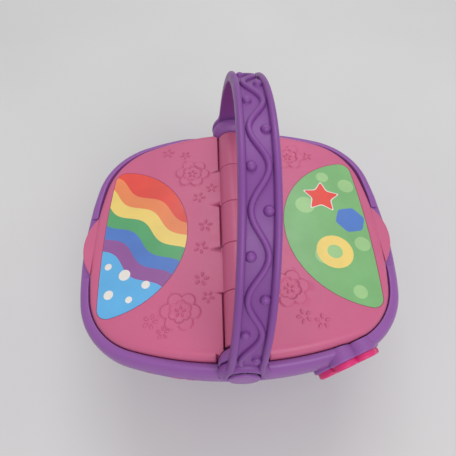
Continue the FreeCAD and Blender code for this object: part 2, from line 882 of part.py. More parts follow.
button_back = pocket_floor + value("button_travel") + 0.2
button_front = button_back + value("button_thickness")
button = flower(6, value("button_ring"), value("button_petal"), button_back, button_front + 10)
button = fronted(button, button_front)
button = rounded(
    button,
    1.4,
    lambda edge: all(abs(v.Z - button_front - v.Y * lean) < 0.01 for v in edge.Vertexes),
)
plunger_top = board_back + 3.4 + value("button_travel") + 0.4
stem = Part.makeCylinder(value("stem_radius"), button_back - plunger_top + 1, Vector(0, 0, plunger_top))
feature("flower_button", on_button(button.fuse(stem)))

switch_board = plate("switch_board", rectangle("16", "7"), "board_thickness")
switch_board.Placement = BUTTON.multiply(at(0, -4, board_back - value("board_thickness")))
switch_case = doc.addObject("Part::Box", "switch_case")
switch_case.Length = 7
switch_case.Width = 6
switch_case.Height = 3.4
switch_case.Placement = BUTTON.multiply(at(-3.5, -3, board_back))
switch_bore = doc.addObject("Part::Cylinder", "switch_bore")
switch_bore.Radius = 1.8
switch_bore.Height = 5
switch_bore.Placement = BUTTON.multiply(at(0, 0, board_back + 0.4))
tact_switch = doc.addObject("Part::Cut", "tact_switch")
tact_switch.Base = switch_case
tact_switch.Tool = switch_bore
tact_switch.Label = "tact_switch"
plunger_low = board_back + 0.4 + value("button_travel") + 0.1
plunger = doc.addObject("Part::Cylinder", "switch_plunger")
plunger.Label = "switch_plunger"
plunger.Radius = 1.72
plunger.Height = plunger_top - plunger_low
plunger.Placement = BUTTON.multiply(at(0, 0, plunger_low))

# Wire leads from the board to the cells, speaker, button and power switch


def lead(points, bend, radius):
    """Round lead along straight runs joined by arcs."""
    edges = []
    last = points[0]
    for before, point, after in zip(points, points[1:], points[2:]):
        way_in = (point - before).normalize()
        way_out = (after - point).normalize()
        turn = math.acos(max(-1, min(1, way_in.dot(way_out))))
        setback = bend * math.tan(turn / 2)
        start = point - way_in * setback
        end = point + way_out * setback
        inward = (way_out - way_in).normalize()
        middle = point + inward * (bend / math.cos(turn / 2) - bend)
        edges.append(Part.makeLine(last, start))
        edges.append(Part.Arc(start, middle, end).toShape())
        last = end
    edges.append(Part.makeLine(last, points[-1]))
    ring = Part.Wire(Part.makeCircle(radius, points[0], points[1] - points[0]))
    return Part.Wire(edges).makePipeShell([ring], True, False)


lead_radius = 0.8
lead_bend = 4
box_face = box_y - bay_half_y - box_side - 0.2
terminal_face = board_y + 11.2
feature(
    "battery_lead",
    lead(
        [
            Vector(12, box_face, 16),
            Vector(12, box_face - 8, 16),
            Vector(board_half[0] - 18, terminal_face + 6, board_top + 3),
            Vector(board_half[0] - 18, terminal_face, board_top + 3),
        ],
        2,
        lead_radius,
    ),
)
magnet_edge = value("speaker_radius") * 0.52
magnet_back = GRILLE.multVec(Vector(0, 1.5 - magnet_edge, seat_z - value("speaker_depth") - 1.6))
feature(
    "speaker_lead",
    lead(
        [
            magnet_back,
            Vector(magnet_back.x, magnet_back.y, 22),
            Vector(8 - board_half[0], board_y - 10, 22),
            Vector(8 - board_half[0], board_y - 10, board_top + 0.2),
        ],
        lead_bend,
        lead_radius,
    ),
)
lead_start = BUTTON.multVec(Vector(0, -11.2, board_back - value("board_thickness") / 2))
feature(
    "button_lead",
    lead(
        [
            lead_start,
            lead_start - UP * 10,
            Vector(lead_start.x - 4, -front_plane - 4, 40),
            Vector(lead_start.x - 4, -front_plane - 4, 22),
            Vector(board_half[0] - 4, board_y - 8, 22),
            Vector(board_half[0] - 4, board_y - 8, board_top + 0.2),
        ],
        lead_bend,
        lead_radius,
    ),
)
switch_face = slide_x - value("slide_travel") - 6.2
feature(
    "switch_lead",
    lead(
        [Vector(switch_face, slide_y, board_z + 0.8), Vector(board_half[0] + 0.2, slide_y, board_z + 0.8)],
        lead_bend,
        lead_radius,
    ),
)

# Hinge posts with stub pivots

rod_end = post_outer - 2
post = post_form(0, post_outer).common(box(-300, 300, 0, 300, rim_top, 300))
post = post.fuse(rod_along(value("stub_radius"), post_outer - 1, post_outer + 4))
post = post.cut(rod_along(value("rod_radius + rod_gap"), 0, rod_end + 0.2))
post = post.cut(rod_along(value("screw_radius"), post_outer - 1, post_outer + 5))
for x, y in POST_SCREWS:
    if y > 0:
        post = post.cut(Part.makeCylinder(value("screw_radius"), 12, Vector(x, y, rim_top - 1)))
feature("back_hinge_post", post)
feature("front_hinge_post", at_front(post))
rod_half = "lid_half_depth + post_reach - 2"
rod = turned(
    "hinge_rod",
    [("0", f"-({rod_half})"), ("rod_radius", f"-({rod_half})"), ("rod_radius", rod_half), ("0", rod_half)],
)
rod.Placement = facing(0, 0, axis_z, ALONG)

# Washers and screws that keep the handle on its stubs

stub_end = post_outer + 4
washer = turned(
    "washer",
    [
        ("screw_radius + 0.1", "0"),
        ("washer_radius", "0"),
        ("washer_radius", "washer_thickness"),
        ("screw_radius + 0.1", "washer_thickness"),
    ],
)
group(
    "pivot_washers",
    washer,
    [facing(0, stub_end, axis_z, ALONG), facing(0, -stub_end, axis_z, ALONG * -1)],
)
pivot_screw = screw("pivot_screw", "washer_thickness + 4.4")
head_y = stub_end + value("washer_thickness")
group(
    "pivot_screws",
    pivot_screw,
    [facing(0, head_y, axis_z, ALONG * -1), facing(0, -head_y, axis_z, ALONG)],
)

# Handle with raised flanges, wave and beads

LEAN = Placement(Vector(0, 0, 0), Rotation(ALONG, value("handle_lean")), AXIS)
strap_in = math.hypot(foot_inner, value("foot_radius") + 3)
strap_face = strap_in + value("strap_thickness")
strap_out = strap_face + value("flange_height")
strap_half = value("strap_half_width")
channel_half = strap_half - value("flange_width")
crest = value("flange_width") / 2


def on_arch(angle, x, radius):
    """Point of the arch at an angle up from its front foot."""
    turn = math.radians(angle)
    return Vector(x, -radius * math.cos(turn), axis_z + radius * math.sin(turn))


def strap_section():
    """Channel section of the strap at the front foot."""
    shoulder = strap_out - min(crest, value("flange_height")) * 0.6
    right = [
        on_arch(0, channel_half, strap_face),
        on_arch(0, channel_half, shoulder),
        on_arch(0, strap_half - crest, strap_out),
        on_arch(0, strap_half, shoulder),
        on_arch(0, strap_half, strap_in),
    ]
    left = [Vector(-p.x, p.y, p.z) for p in reversed(right)]
    edges = [
        Part.makeLine(right[0], right[1]),
        Part.Arc(right[1], right[2], right[3]).toShape(),
        Part.makeLine(right[3], right[4]),
        Part.makeLine(right[4], left[0]),
        Part.makeLine(left[0], left[1]),
        Part.Arc(left[1], left[2], left[3]).toShape(),
        Part.makeLine(left[3], left[4]),
        Part.makeLine(left[4], right[0]),
    ]
    return Part.Face(Part.Wire(edges))


def wave_x(angle):
    """Sideways place of the wave, furthest left at its start angle."""
    return -value("wave_reach") * math.cos(math.pi * (angle - value("wave_start")) / value("wave_half_step"))


wave_half = value("wave_half_width")
wave_low = strap_face - 0.5
wave_top = strap_face + value("wave_height")
sections = []
wave_count = 120
for i in range(wave_count + 1):
    angle = 10 + 160 * i / wave_count
    middle = wave_x(angle)
    sections.append(
        Part.makePolygon(
            [
                on_arch(angle, middle - wave_half - 0.3, wave_low),
                on_arch(angle, middle - wave_half * 0.55, wave_top),
                on_arch(angle, middle + wave_half * 0.55, wave_top),
                on_arch(angle, middle + wave_half + 0.3, wave_low),
                on_arch(angle, middle - wave_half - 0.3, wave_low),
            ]
        )
    )
wave = Part.makeLoft(sections, True, True)
strap = strap_section().revolve(AXIS, ACROSS * -1, 180)
handle = strap.fuse(wave)
bead_angle = value("wave_start")
while bead_angle < 170:
    if bead_angle > 8:
        spot = on_arch(bead_angle, -wave_x(bead_angle) * 0.92, strap_face)
        handle = handle.fuse(Part.makeSphere(value("bead_radius"), spot))
    bead_angle += value("wave_half_step")
bore = value("stub_radius + pivot_gap")
cap_seat = value("cap_radius") + 0.05
for side in (1, -1):
    way = ALONG * side
    foot = Part.makeCylinder(value("foot_radius"), value("foot_thickness"), AXIS + way * foot_inner, way)
    foot = rounded(foot, 1.5, lambda e: abs(e.CenterOfMass.y) > foot_outer - 0.01)
    handle = handle.fuse(foot)
for side in (1, -1):
    way = ALONG * side
    handle = handle.cut(Part.makeCylinder(bore, 30, AXIS + way * (foot_inner - 1), way))
    handle = handle.cut(Part.makeCylinder(cap_seat, 30, AXIS + way * (stub_end - 0.3), way))
feature("handle", placed(handle, LEAN))
cap = turned(
    "cap",
    [("0", "0"), ("cap_radius", "0"), ("cap_radius", "0.8"), ("cap_radius - 1.2", "1.6"), ("0", "1.9")],
)
cap_y = head_y + value("screw_head_height") + 0.2
group("handle_caps", cap, [facing(0, cap_y, axis_z, ALONG), facing(0, -cap_y, axis_z, ALONG * -1)])

# Crowned lids with hinge knuckles, tabs and label seats

lid_low = rim_top + value("lid_gap")
crown_top = axis_z + value("crown_above_axis")


def crown_cut(drop):
    """Cylinder under the crowned surface or a little below it."""
    return arch(crown_top - drop, value("crown_radius") - drop)


def crown(offset, low, drop):
    """Solid inside the outline under the crowned surface."""
    return prism(offset, low, crown_top + 5).common(crown_cut(drop))


lid_wall = value("lid_wall")
cap_form = crown(0, lid_low, 0)


def on_lid_edge(edge):
    """True for the edges round the top of the crowned form."""
    middle = edge.CenterOfMass
    if math.hypot(middle.x, middle.y) < 0.7 * half_depth:
        return False
    return above(lid_low + 2)(edge)


cap_form = rounded(cap_form, value("lid_round"), on_lid_edge)
cap_form = cap_form.cut(crown(-lid_wall, lid_low - 1, lid_wall))


def tab_form():
    """Finger tab at the outer middle of the right lid."""
    root = value("lid_half_width") - lid_wall + 0.3
    half = value("tab_half_length")
    low = lid_low + 0.3
    front = Vector(root, tab_middle - half, low)
    tip = Vector(value("lid_half_width + tab_reach"), tab_middle, low)
    back = Vector(root, tab_middle + half, low)
    wire = Part.Wire([Part.Arc(front, tip, back).toShape(), Part.makeLine(back, front)])
    tab = Part.Face(wire).extrude(UP * value("tab_thickness"))
    return rounded(tab, 1.4, lambda edge: above(low + 1)(edge) and abs(edge.CenterOfMass.x - root) > 1)


def label_prism():
    """Upright solid in the outline of the right label."""
    edge = value("lid_half_width - label_edge_inset")
    middle = -value("label_shift")
    half = value("label_half_height")
    deep = value("label_width")
    diagonal = math.sqrt(0.5)
    low = lid_low
    back = Vector(edge - 1.5, middle + half, low)
    front = Vector(edge - 1.5, middle - half, low)
    nose = Vector(edge - deep, middle, low)
    over = Vector(edge - deep * diagonal, middle + half * diagonal, low)
    under = Vector(edge - deep * diagonal, middle - half * diagonal, low)
    wire = Part.Wire(
        [
            Part.Arc(front, Vector(edge + 1.5, middle, low), back).toShape(),
            Part.Arc(back, over, nose).toShape(),
            Part.Arc(nose, under, front).toShape(),
        ]
    )
    solid = Part.Face(wire).extrude(UP * 40)

    def on_corner(line):
        upright = abs(line.tangentAt(line.FirstParameter).z) > 0.9
        return upright and line.CenterOfMass.x > edge - 5

    return rounded(solid, value("label_round"), on_corner)


label_solid = label_prism()
label_drop = value("label_thickness")
right_label = label_solid.common(crown_cut(0)).cut(crown_cut(label_drop))
label_seat = label_solid.cut(crown_cut(label_drop))
knuckle = 2 * barrel_end / 5
barrel = value("barrel_radius")
barrel_hollow = barrel - value("barrel_wall")
web = 2.2


def hinge_knuckle(start, end):
    """Hollow knuckle, open below, with a bored web at each end."""
    form = rod_along(barrel, start, end)
    form = form.cut(rod_along(barrel_hollow, start + web, end - web))
    form = form.cut(box(-barrel_hollow, barrel_hollow, start + web, end - web, axis_z - 40, axis_z))
    return form.cut(rod_along(value("rod_radius + rod_gap"), start - 1, end + 1))


def lid(owned):
    """Left-hand lid that carries the listed knuckles."""
    form = cap_form.common(box(-300, -barrel / 2, -300, 300, 0, 300))
    swing = value("swing_gap")
    clear = post_form(swing, post_outer + 20)
    clear = clear.fuse(rod_along(barrel + swing, barrel_end - swing, post_inner + 6))
    form = form.cut(clear).cut(at_front(clear))
    form = form.fuse(mirrored(tab_form())).cut(mirrored(label_seat))
    form = form.cut(rod_along(barrel - 1, -post_inner - 1, post_inner + 1))
    for i in set(range(5)) - set(owned):
        start = -barrel_end + i * knuckle - swing
        form = form.cut(rod_along(barrel + swing, start, start + knuckle + 2 * swing))
    gap = value("knuckle_gap") / 2
    for i in owned:
        start = -barrel_end + i * knuckle + gap
        form = form.fuse(hinge_knuckle(start, start + knuckle - 2 * gap))
    return form


feature("left_lid", lid((1, 3)))
feature("right_lid", mirrored(lid((0, 2, 4))))
feature("left_label", mirrored(right_label))
feature("right_label", right_label)

# Check every object and write one file for each sub-part

NODES = [
    "basket_shell",
    "inner_tub",
    "base_plate",
    "battery_door",
    "door_screw",
    "base_screws",
    "post_screws",
    "rubber_feet",
    "batteries",
    "battery_contacts",
    "circuit_board",
    "board_screws",
    "main_chip",
    "wire_terminal",
    "power_switch",
    "power_slider",
    "battery_lead",
    "speaker_lead",
    "button_lead",
    "switch_lead",
    "speaker_frame",
    "speaker_cone",
    "speaker_magnet",
    "speaker_grille",
    "flower_bezel",
    "flower_button",
    "switch_board",
    "tact_switch",
    "switch_plunger",
    "front_hinge_post",
    "back_hinge_post",
    "hinge_rod",
    "pivot_washers",
    "pivot_screws",
    "handle",
    "handle_caps",
    "left_lid",
    "right_lid",
    "left_label",
    "right_label",
]

doc.recompute()
for obj in doc.Objects:
    if "Invalid" in obj.State or "Error" in obj.State:
        raise RuntimeError(f"{obj.Name} did not build: {obj.State}")
os.makedirs("parts", exist_ok=True)
for label in NODES:
    obj = doc.getObjectsByLabel(label)[0]
    if obj.Shape.isNull() or not obj.Shape.isValid():
        raise RuntimeError(f"{label} has no valid shape")
    print(label, len(obj.Shape.Solids), round(obj.Shape.Volume / 1000, 2))
    obj.Shape.exportStep(f"parts/{label}.step")
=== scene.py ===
import math

import bmesh
import bpy
import numpy as np
from mathutils import Matrix, Vector
from mathutils.geometry import delaunay_2d_cdt


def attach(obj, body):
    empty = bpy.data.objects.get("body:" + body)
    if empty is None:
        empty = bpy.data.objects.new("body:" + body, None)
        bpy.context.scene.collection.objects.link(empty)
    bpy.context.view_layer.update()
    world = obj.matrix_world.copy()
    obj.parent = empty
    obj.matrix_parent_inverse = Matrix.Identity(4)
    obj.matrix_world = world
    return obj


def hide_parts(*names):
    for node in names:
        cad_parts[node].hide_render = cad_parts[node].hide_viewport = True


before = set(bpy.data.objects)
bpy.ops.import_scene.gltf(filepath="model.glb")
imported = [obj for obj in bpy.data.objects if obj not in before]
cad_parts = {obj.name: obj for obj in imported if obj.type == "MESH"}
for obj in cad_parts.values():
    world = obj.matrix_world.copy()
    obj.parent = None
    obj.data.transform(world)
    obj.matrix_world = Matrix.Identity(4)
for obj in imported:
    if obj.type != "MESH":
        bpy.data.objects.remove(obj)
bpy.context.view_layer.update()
scene = bpy.context.scene
MM = 0.001
CREASE = 40.0
SIDES = (1.0, -1.0)

# Sizes in millimetres, most of them as in the CAD source

LID_W = 109.0
LID_D = 96.5
R_END = 236.0
R_SIDE = 268.0
R_CORNER = 48.0
SHELL_BOTTOM = 5.5
WALL = 2.5
WALL_FOOT = -18.0
WALL_FLARE = 22.0
RIM_TOP = 103.0
RIM_UNDER = 98.0
WALL_TILT = math.atan(WALL_FLARE / (RIM_UNDER - SHELL_BOTTOM))
LIP_LOW = 94.5
GROOVE_TOP = 97.6
CURB_LOW = 99.0
CURB_TOP = 111.0
CURB_ARCH = 1190.0
AXIS_Z = 116.0
CROWN_TOP = 119.0
CROWN_R = 560.0
LID_LOW = 103.3
LID_ROUND = 5.0
LID_WALL = 2.4
BARREL = 11.0
BARREL_END = 89.5
SWING = 0.6
KNUCKLES = 5
KNUCKLE = 2 * BARREL_END / KNUCKLES
POST_R = 15.5
POST_ROUND = 9.0
POST_INNER = 89.9
POST_OUTER = 99.5
POST_ROOT = 109.0
STRAP_IN = 101.6
STRAP_FACE = 104.9
STRAP_OUT = 108.0
STRAP_HALF = 10.9
LEAN = math.radians(6.3)
WAVE_START = 12.9
WAVE_STEP = 12.13
WAVE_REACH = 4.6
TAB_MID = -4.5
TAB_HALF = 25.0
TAB_REACH = 6.6

# Outline of eight tangent arcs


def corner_centre():
    end_y = LID_D - R_END
    side_x = LID_W - R_SIDE
    end_reach = R_END - R_CORNER
    side_reach = R_SIDE - R_CORNER
    span = math.hypot(side_x, end_y)
    along = (end_reach**2 - side_reach**2 + span**2) / (2 * span)
    aside = math.sqrt(end_reach**2 - along**2)
    ux, uy = side_x / span, -end_y / span
    return np.array([along * ux + aside * uy, end_y + along * uy - aside * ux])


K = corner_centre()
C_END = np.array([0.0, LID_D - R_END])
C_SIDE = np.array([LID_W - R_SIDE, 0.0])
A_SIDE = math.atan2(*(K - C_SIDE)[::-1])
A_END = math.atan2(*(K - C_END)[::-1])


def inset(x, y):
    """Distance inside the lids' outline."""
    q = np.stack([np.abs(x), np.abs(y)], -1)
    end = R_END - np.linalg.norm(q - C_END, axis=-1)
    side = R_SIDE - np.linalg.norm(q - C_SIDE, axis=-1)
    to_k = q - K
    angle = np.arctan2(to_k[..., 1], to_k[..., 0])
    in_corner = (angle > A_SIDE) & (angle < A_END)
    return np.where(in_corner, R_CORNER - np.linalg.norm(to_k, axis=-1), np.minimum(end, side))


def quarter(pitch):
    """Points and outward normals of the outline from the right middle to the back middle."""
    rows = []
    arcs = (
        (C_SIDE, R_SIDE, 0.0, A_SIDE),
        (K, R_CORNER, A_SIDE, A_END),
        (C_END, R_END, A_END, math.pi / 2),
    )
    for centre, radius, start, stop in arcs:
        count = max(4, int(round(radius * (stop - start) / pitch)))
        for i in range(count):
            a = start + (stop - start) * i / count
            n = np.array([math.cos(a), math.sin(a)])
            rows.append(np.concatenate([centre + radius * n, n]))
    rows.append(np.array([0.0, LID_D, 0.0, 1.0]))
    return np.array(rows)


def loop(pitch):
    """Closed ring of the outline as rows of x, y and the outward normal."""
    q = quarter(pitch)
    back = q[::-1][1:] * [-1, 1, -1, 1]
    front_left = q[1:] * [-1, -1, -1, -1]
    front_right = q[::-1][1:-1] * [1, -1, 1, -1]
    return np.concatenate([q, back, front_left, front_right])


def wall_offset(z):
    """How far the outer wall lies outside the lids' outline at a height."""
    return WALL_FOOT + WALL_FLARE * (z - SHELL_BOTTOM) / (RIM_UNDER - SHELL_BOTTOM)


# Mesh building


class Build:
    """Points in millimetres, faces and a material number for each face."""

    def __init__(self):
        self.points = []
        self.faces = []
        self.slots = []

    def face(self, corners, slot=0):
        self.faces.append(tuple(corners))
        self.slots.append(slot)

    def add(self, points, faces=()):
        """Add points and faces among them, and give the first point's number."""
        base = len(self.points)
        self.points.extend(tuple(float(c) for c in p) for p in points)
        for corners in faces:
            self.face(base + i for i in corners)
        return base

    def sweep(self, rows, closed=False, caps=False):
        """Quads between successive rows of points, each row a closed ring."""
        rows = np.asarray(rows, float)
        count, width = rows.shape[:2]
        faces = []
        for i in range(count if closed else count - 1):
            j = (i + 1) % count
            for k in range(width):
                m = (k + 1) % width
                faces.append((i * width + k, i * width + m, j * width + m, j * width + k))
        if caps:
            faces.append(range(width)[::-1])
            faces.append(range((count - 1) * width, count * width))
        self.add(rows.reshape(-1, 3), faces)
        return self

    def lathe(self, profile, place, steps):
        """Closed profile of radius and height turned about the local Z axis."""
        rows = []
        for i in range(steps):
            a = 2 * math.pi * i / steps
            rows.append([place @ Vector((r * math.cos(a), r * math.sin(a), h)) for r, h in profile])
        return self.sweep(rows, closed=True)

    def box(self, x0, x1, y0, y1, z0, z1):
        rows = [[(x0, y0, z), (x1, y0, z), (x1, y1, z), (x0, y1, z)] for z in (z0, z1)]
        return self.sweep(rows, caps=True)


def put(name, data):
    """New object linked into the scene."""
    obj = bpy.data.objects.new(name, data)
    scene.collection.objects.link(obj)
    return obj


def mesh_of(name, build, prune):
    """Welded mesh of a build, its faces outward and, if asked, its loose ends pruned."""
    mesh = bpy.data.meshes.new(name)
    mesh.from_pydata([(x * MM, y * MM, z * MM) for x, y, z in build.points], [], build.faces)
    mesh.polygons.foreach_set("material_index", build.slots)
    bm = bmesh.new()
    bm.from_mesh(mesh)
    bmesh.ops.remove_doubles(bm, verts=bm.verts, dist=1e-6)
    if prune:
        bmesh.ops.dissolve_degenerate(bm, dist=1e-7, edges=bm.edges)
        bmesh.ops.delete(bm, geom=[e for e in bm.edges if not e.link_faces], context="EDGES")
        bmesh.ops.delete(bm, geom=[v for v in bm.verts if not v.link_faces], context="VERTS")
    bmesh.ops.recalc_face_normals(bm, faces=bm.faces)
    bm.to_mesh(mesh)
    bm.free()
    return mesh


def make(name, build, body, materials, replaces=(), crease=CREASE):
    """Blender object of a build, shaded smooth with crisp creases, riding on a body."""
    mesh = mesh_of(name, build, True)
    for material in materials:
        mesh.materials.append(material)
    mesh.polygons.foreach_set("use_smooth", [True] * len(mesh.polygons))
    mesh.set_sharp_from_angle(angle=math.radians(crease))
    obj = put(name, mesh)
    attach(obj, body)
    if replaces:
        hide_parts(*replaces)
    return obj


def carve(obj, cutters, crease=CREASE):
    """Subtract closed builds from an object for good, and renew its creases."""
    for cutter in cutters:
        mesh = mesh_of("cutter", cutter, False)
        tool = put("cutter", mesh)
        modifier = obj.modifiers.new("cut", "BOOLEAN")
        modifier.object = tool
        modifier.operation = "DIFFERENCE"
        modifier.solver = "EXACT"
        bpy.context.view_layer.update()
        graph = bpy.context.evaluated_depsgraph_get()
        result = bpy.data.meshes.new_from_object(obj.evaluated_get(graph))
        obj.modifiers.clear()
        old, obj.data = obj.data, result
        bpy.data.meshes.remove(old)
        bpy.data.objects.remove(tool)
        bpy.data.meshes.remove(mesh)
    obj.data.set_sharp_from_angle(angle=math.radians(crease))


def step(value, low, high):
    """Smooth rise from 0 to 1 between two values."""
    t = np.clip((value - low) / (high - low), 0.0, 1.0)
    return t * t * (3 - 2 * t)


def along_y(y, side=1.0):
    """Placement of a turned form on the hinge axis, its local Z pointing along +Y or -Y."""
    turn = Matrix.Rotation(-side * math.pi / 2, 4, "X")
    return Matrix.Translation((0.0, y, AXIS_Z)) @ turn


def arc_points(cx, cy, r, a0, a1, count):
    """Points of an arc in degrees, both ends in."""
    angles = np.radians(np.linspace(a0, a1, count))
    return [(cx + r * math.cos(a), cy + r * math.sin(a)) for a in angles]


# Materials


def srgb(r, g, b):
    """Linear colour of an sRGB value written 0 to 255."""
    out = []
    for c in (r, g, b):
        c = c / 255
        out.append(c / 12.92 if c <= 0.04045 else ((c + 0.055) / 1.055) ** 2.4)
    return (*out, 1.0)


def shift(colour, factor):
    return tuple(min(1.0, c * factor) for c in colour[:3]) + (1.0,)


class Nodes:
    """Short way to link nodes to one Principled shader."""

    def __init__(self, name):
        self.material = bpy.data.materials.new(name)
        self.material.use_nodes = True
        self.tree = self.material.node_tree
        self.shader = self.tree.nodes["Principled BSDF"]
        self.coords = self.tree.nodes.new("ShaderNodeTexCoord")

    def new(self, kind, **inputs):
        node = self.tree.nodes.new(kind)
        for key, val in inputs.items():
            node.inputs[key.replace("_", " ")].default_value = val
        return node

    def link(self, out, into):
        self.tree.links.new(out, into)

    def noise(self, scale, detail=2.0, rough=0.5):
        node = self.new("ShaderNodeTexNoise", Scale=scale, Detail=detail, Roughness=rough)
        self.link(self.coords.outputs["Object"], node.inputs["Vector"])
        return node.outputs["Fac"]

    def ramp(self, fac, first=0.0, second=1.0, low=0.3, high=0.7):
        """A value from low to high spread over first to second."""
        node = self.new("ShaderNodeMapRange", From_Min=low, From_Max=high, To_Min=first, To_Max=second)
        self.link(fac, node.inputs["Value"])
        return node.outputs["Result"]

    def mix(self, fac, first, second):
        node = self.tree.nodes.new("ShaderNodeMix")
        node.data_type = "RGBA"
        for socket, val in ((node.inputs[6], first), (node.inputs[7], second)):
            if isinstance(val, tuple):
                socket.default_value = val
            else:
                self.link(val, socket)
        self.link(fac, node.inputs[0])
        return node.outputs[2]

    def dress(self, colour, rough, height, strength, depth):
        """Link a colour, a roughness and a fine bump to the shader."""
        bump = self.new("ShaderNodeBump", Strength=strength, Distance=depth)
        self.link(height, bump.inputs["Height"])
        self.link(bump.outputs["Normal"], self.shader.inputs["Normal"])
        self.link(colour, self.shader.inputs["Base Color"])
        self.link(rough, self.shader.inputs["Roughness"])
        return self.material


def plastic(name, colour, rough=0.36, grain=0.05, spread=0.05):
    """Moulded plastic: faint flow marks in the colour, fine grain and handling marks in the gloss."""
    n = Nodes(name)
    flow = n.mix(n.ramp(n.noise(14.0, 3.0, 0.55)), shift(colour, 1 - spread), shift(colour, 1 + spread))
    speck = n.ramp(n.noise(900.0, 1.0), 0.0, 0.12, 0.62, 0.75)
    gloss = n.ramp(n.noise(55.0, 5.0, 0.65), rough - 0.06, rough + 0.09, 0.3, 0.72)
    n.shader.inputs["Specular IOR Level"].default_value = 0.36
    return n.dress(n.mix(speck, flow, shift(colour, 1.25)), gloss, n.noise(2600.0), grain, 0.0002)


def film(name, colour):
    """Printed film: a fine dot screen in the ink and a slight ripple."""
    n = Nodes(name)
    ink = n.mix(n.ramp(n.noise(45.0, 3.0)), shift(colour, 0.93), shift(colour, 1.06))
    screen = n.new("ShaderNodeTexVoronoi", Scale=2400.0)
    n.link(n.coords.outputs["Object"], screen.inputs["Vector"])
    dot = n.ramp(screen.outputs["Distance"], 0.0, 0.14, 0.15, 0.5)
    gloss = n.ramp(n.noise(70.0, 4.0), 0.29, 0.42)
    return n.dress(n.mix(dot, ink, shift(colour, 1.25)), gloss, n.noise(260.0), 0.06, 0.0003)


def metal(name, colour, rough=0.32):
    """Plated steel with a drawn grain."""
    n = Nodes(name)
    streak = n.mix(n.ramp(n.noise(420.0, 4.0, 0.6)), shift(colour, 0.86), shift(colour, 1.08))
    gloss = n.ramp(n.noise(160.0, 4.0), rough - 0.1, rough + 0.12)
    n.shader.inputs["Metallic"].default_value = 1.0
    return n.dress(streak, gloss, n.noise(1500.0, 3.0), 0.12, 0.0002)


def rubber(name, colour, rough=0.72):
    """Soft dull rubber or cord cover."""
    n = Nodes(name)
    dust = n.ramp(n.noise(120.0, 4.0, 0.6), 0.0, 0.5, 0.45, 0.75)
    gloss = n.ramp(n.noise(240.0, 3.0), rough - 0.1, rough + 0.12)
    return n.dress(n.mix(dust, colour, shift(colour, 1.7)), gloss, n.noise(1900.0, 3.0), 0.3, 0.0003)


purple = plastic("purple_shell", srgb(140, 84, 157))
purple_handle = plastic("purple_strap", srgb(127, 70, 146), rough=0.4, grain=0.07)
lilac = plastic("lilac_tub", srgb(176, 138, 190), rough=0.42)
base_purple = plastic("base_purple", srgb(126, 76, 146), rough=0.52, grain=0.14)
pink = plastic("pink_lid", srgb(196, 96, 133))
hot_pink = plastic("hot_pink_button", srgb(212, 48, 116), rough=0.3)
steel = metal("steel", srgb(176, 178, 184))
contact = metal("contact_plate", srgb(196, 190, 170), 0.26)
cell_case = metal("cell_sleeve", srgb(70, 74, 84), 0.36)
pad_rubber = rubber("pad_rubber", srgb(60, 58, 64))
board_green = plastic("board_green", srgb(48, 110, 66), rough=0.42, spread=0.1)
black = plastic("black_plastic", srgb(44, 44, 48), rough=0.48, spread=0.12)
white_plastic = plastic("terminal_white", srgb(226, 222, 210), rough=0.45)
lead_red = rubber("lead_red", srgb(176, 44, 42), 0.5)
cone = rubber("cone_paper", srgb(58, 54, 54), 0.85)

# CAD pieces that show as they are

CARRIED = (
    (lilac, "inner_tub"),
    (base_purple, "base_plate battery_door"),
    (steel, "hinge_rod pivot_washers pivot_screws door_screw base_screws post_screws board_screws"),
    (steel, "speaker_frame speaker_magnet"),
    (contact, "battery_contacts"),
    (cell_case, "batteries"),
    (pad_rubber, "rubber_feet"),
    (board_green, "circuit_board switch_board"),
    (black, "main_chip power_switch power_slider tact_switch switch_plunger"),
    (white_plastic, "wire_terminal"),
    (lead_red, "battery_lead speaker_lead button_lead switch_lead"),
    (cone, "speaker_cone"),
)
for material, members in CARRIED:
    for member in members.split():
        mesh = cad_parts[member].data
        mesh.materials.clear()
        mesh.materials.append(material)

# Frames and outlines of the flower button and the speaker grille

BUTTON_TURN = math.radians(21.5)
BUTTON_Z = 88.0
BUTTON_SHIFT = 7.0
BUTTON_RING = 14.2
GRILLE_TURN = math.radians(13.0)
GRILLE_Z = 70.0
GRILLE_RING = 13.0
PETALS = 6


def frame_matrix(origin, side, up, out):
    """Placement with its local X, Y and Z axes along three directions."""
    rows = [(side[i], up[i], out[i], origin[i]) for i in range(3)]
    return Matrix((*rows, (0, 0, 0, 1)))


b_out = np.array([math.sin(BUTTON_TURN), -math.cos(BUTTON_TURN), 0.0])
b_side = np.array([math.cos(BUTTON_TURN), math.sin(BUTTON_TURN), 0.0])
b_origin = np.array([K[0], -K[1], BUTTON_Z]) + b_out * R_CORNER - b_side * BUTTON_SHIFT
BUTTON = frame_matrix(b_origin, b_side, (0, 0, 1), b_out)

g_level = np.array([-math.sin(GRILLE_TURN), -math.cos(GRILLE_TURN), 0.0])
g_out = g_level * math.cos(WALL_TILT) - [0.0, 0.0, math.sin(WALL_TILT)]
g_side = np.array([math.cos(GRILLE_TURN), -math.sin(GRILLE_TURN), 0.0])
g_origin = g_level * (R_END + wall_offset(GRILLE_Z)) + [0.0, R_END - LID_D, GRILLE_Z]
GRILLE = frame_matrix(g_origin, g_side, np.cross(g_out, g_side), g_out)


def flower_ring(ring, petal, per=14, turn=0.0):
    """Outline of round petals about the local Z axis as x and y."""
    half = math.pi / PETALS
    cusp = ring * math.cos(half) + math.sqrt(max(0.0, petal**2 - (ring * math.sin(half)) ** 2))
    reach = math.atan2(cusp * math.sin(half), cusp * math.cos(half) - ring)
    points = []
    for i in range(PETALS):
        a = 2 * half * i + turn
        c, s = math.cos(a), math.sin(a)
        for k in range(per):
            b = -reach + 2 * reach * k / per
            x, y = ring + petal * math.cos(b), petal * math.sin(b)
            points.append((x * c - y * s, x * s + y * c))
    return np.array(points)


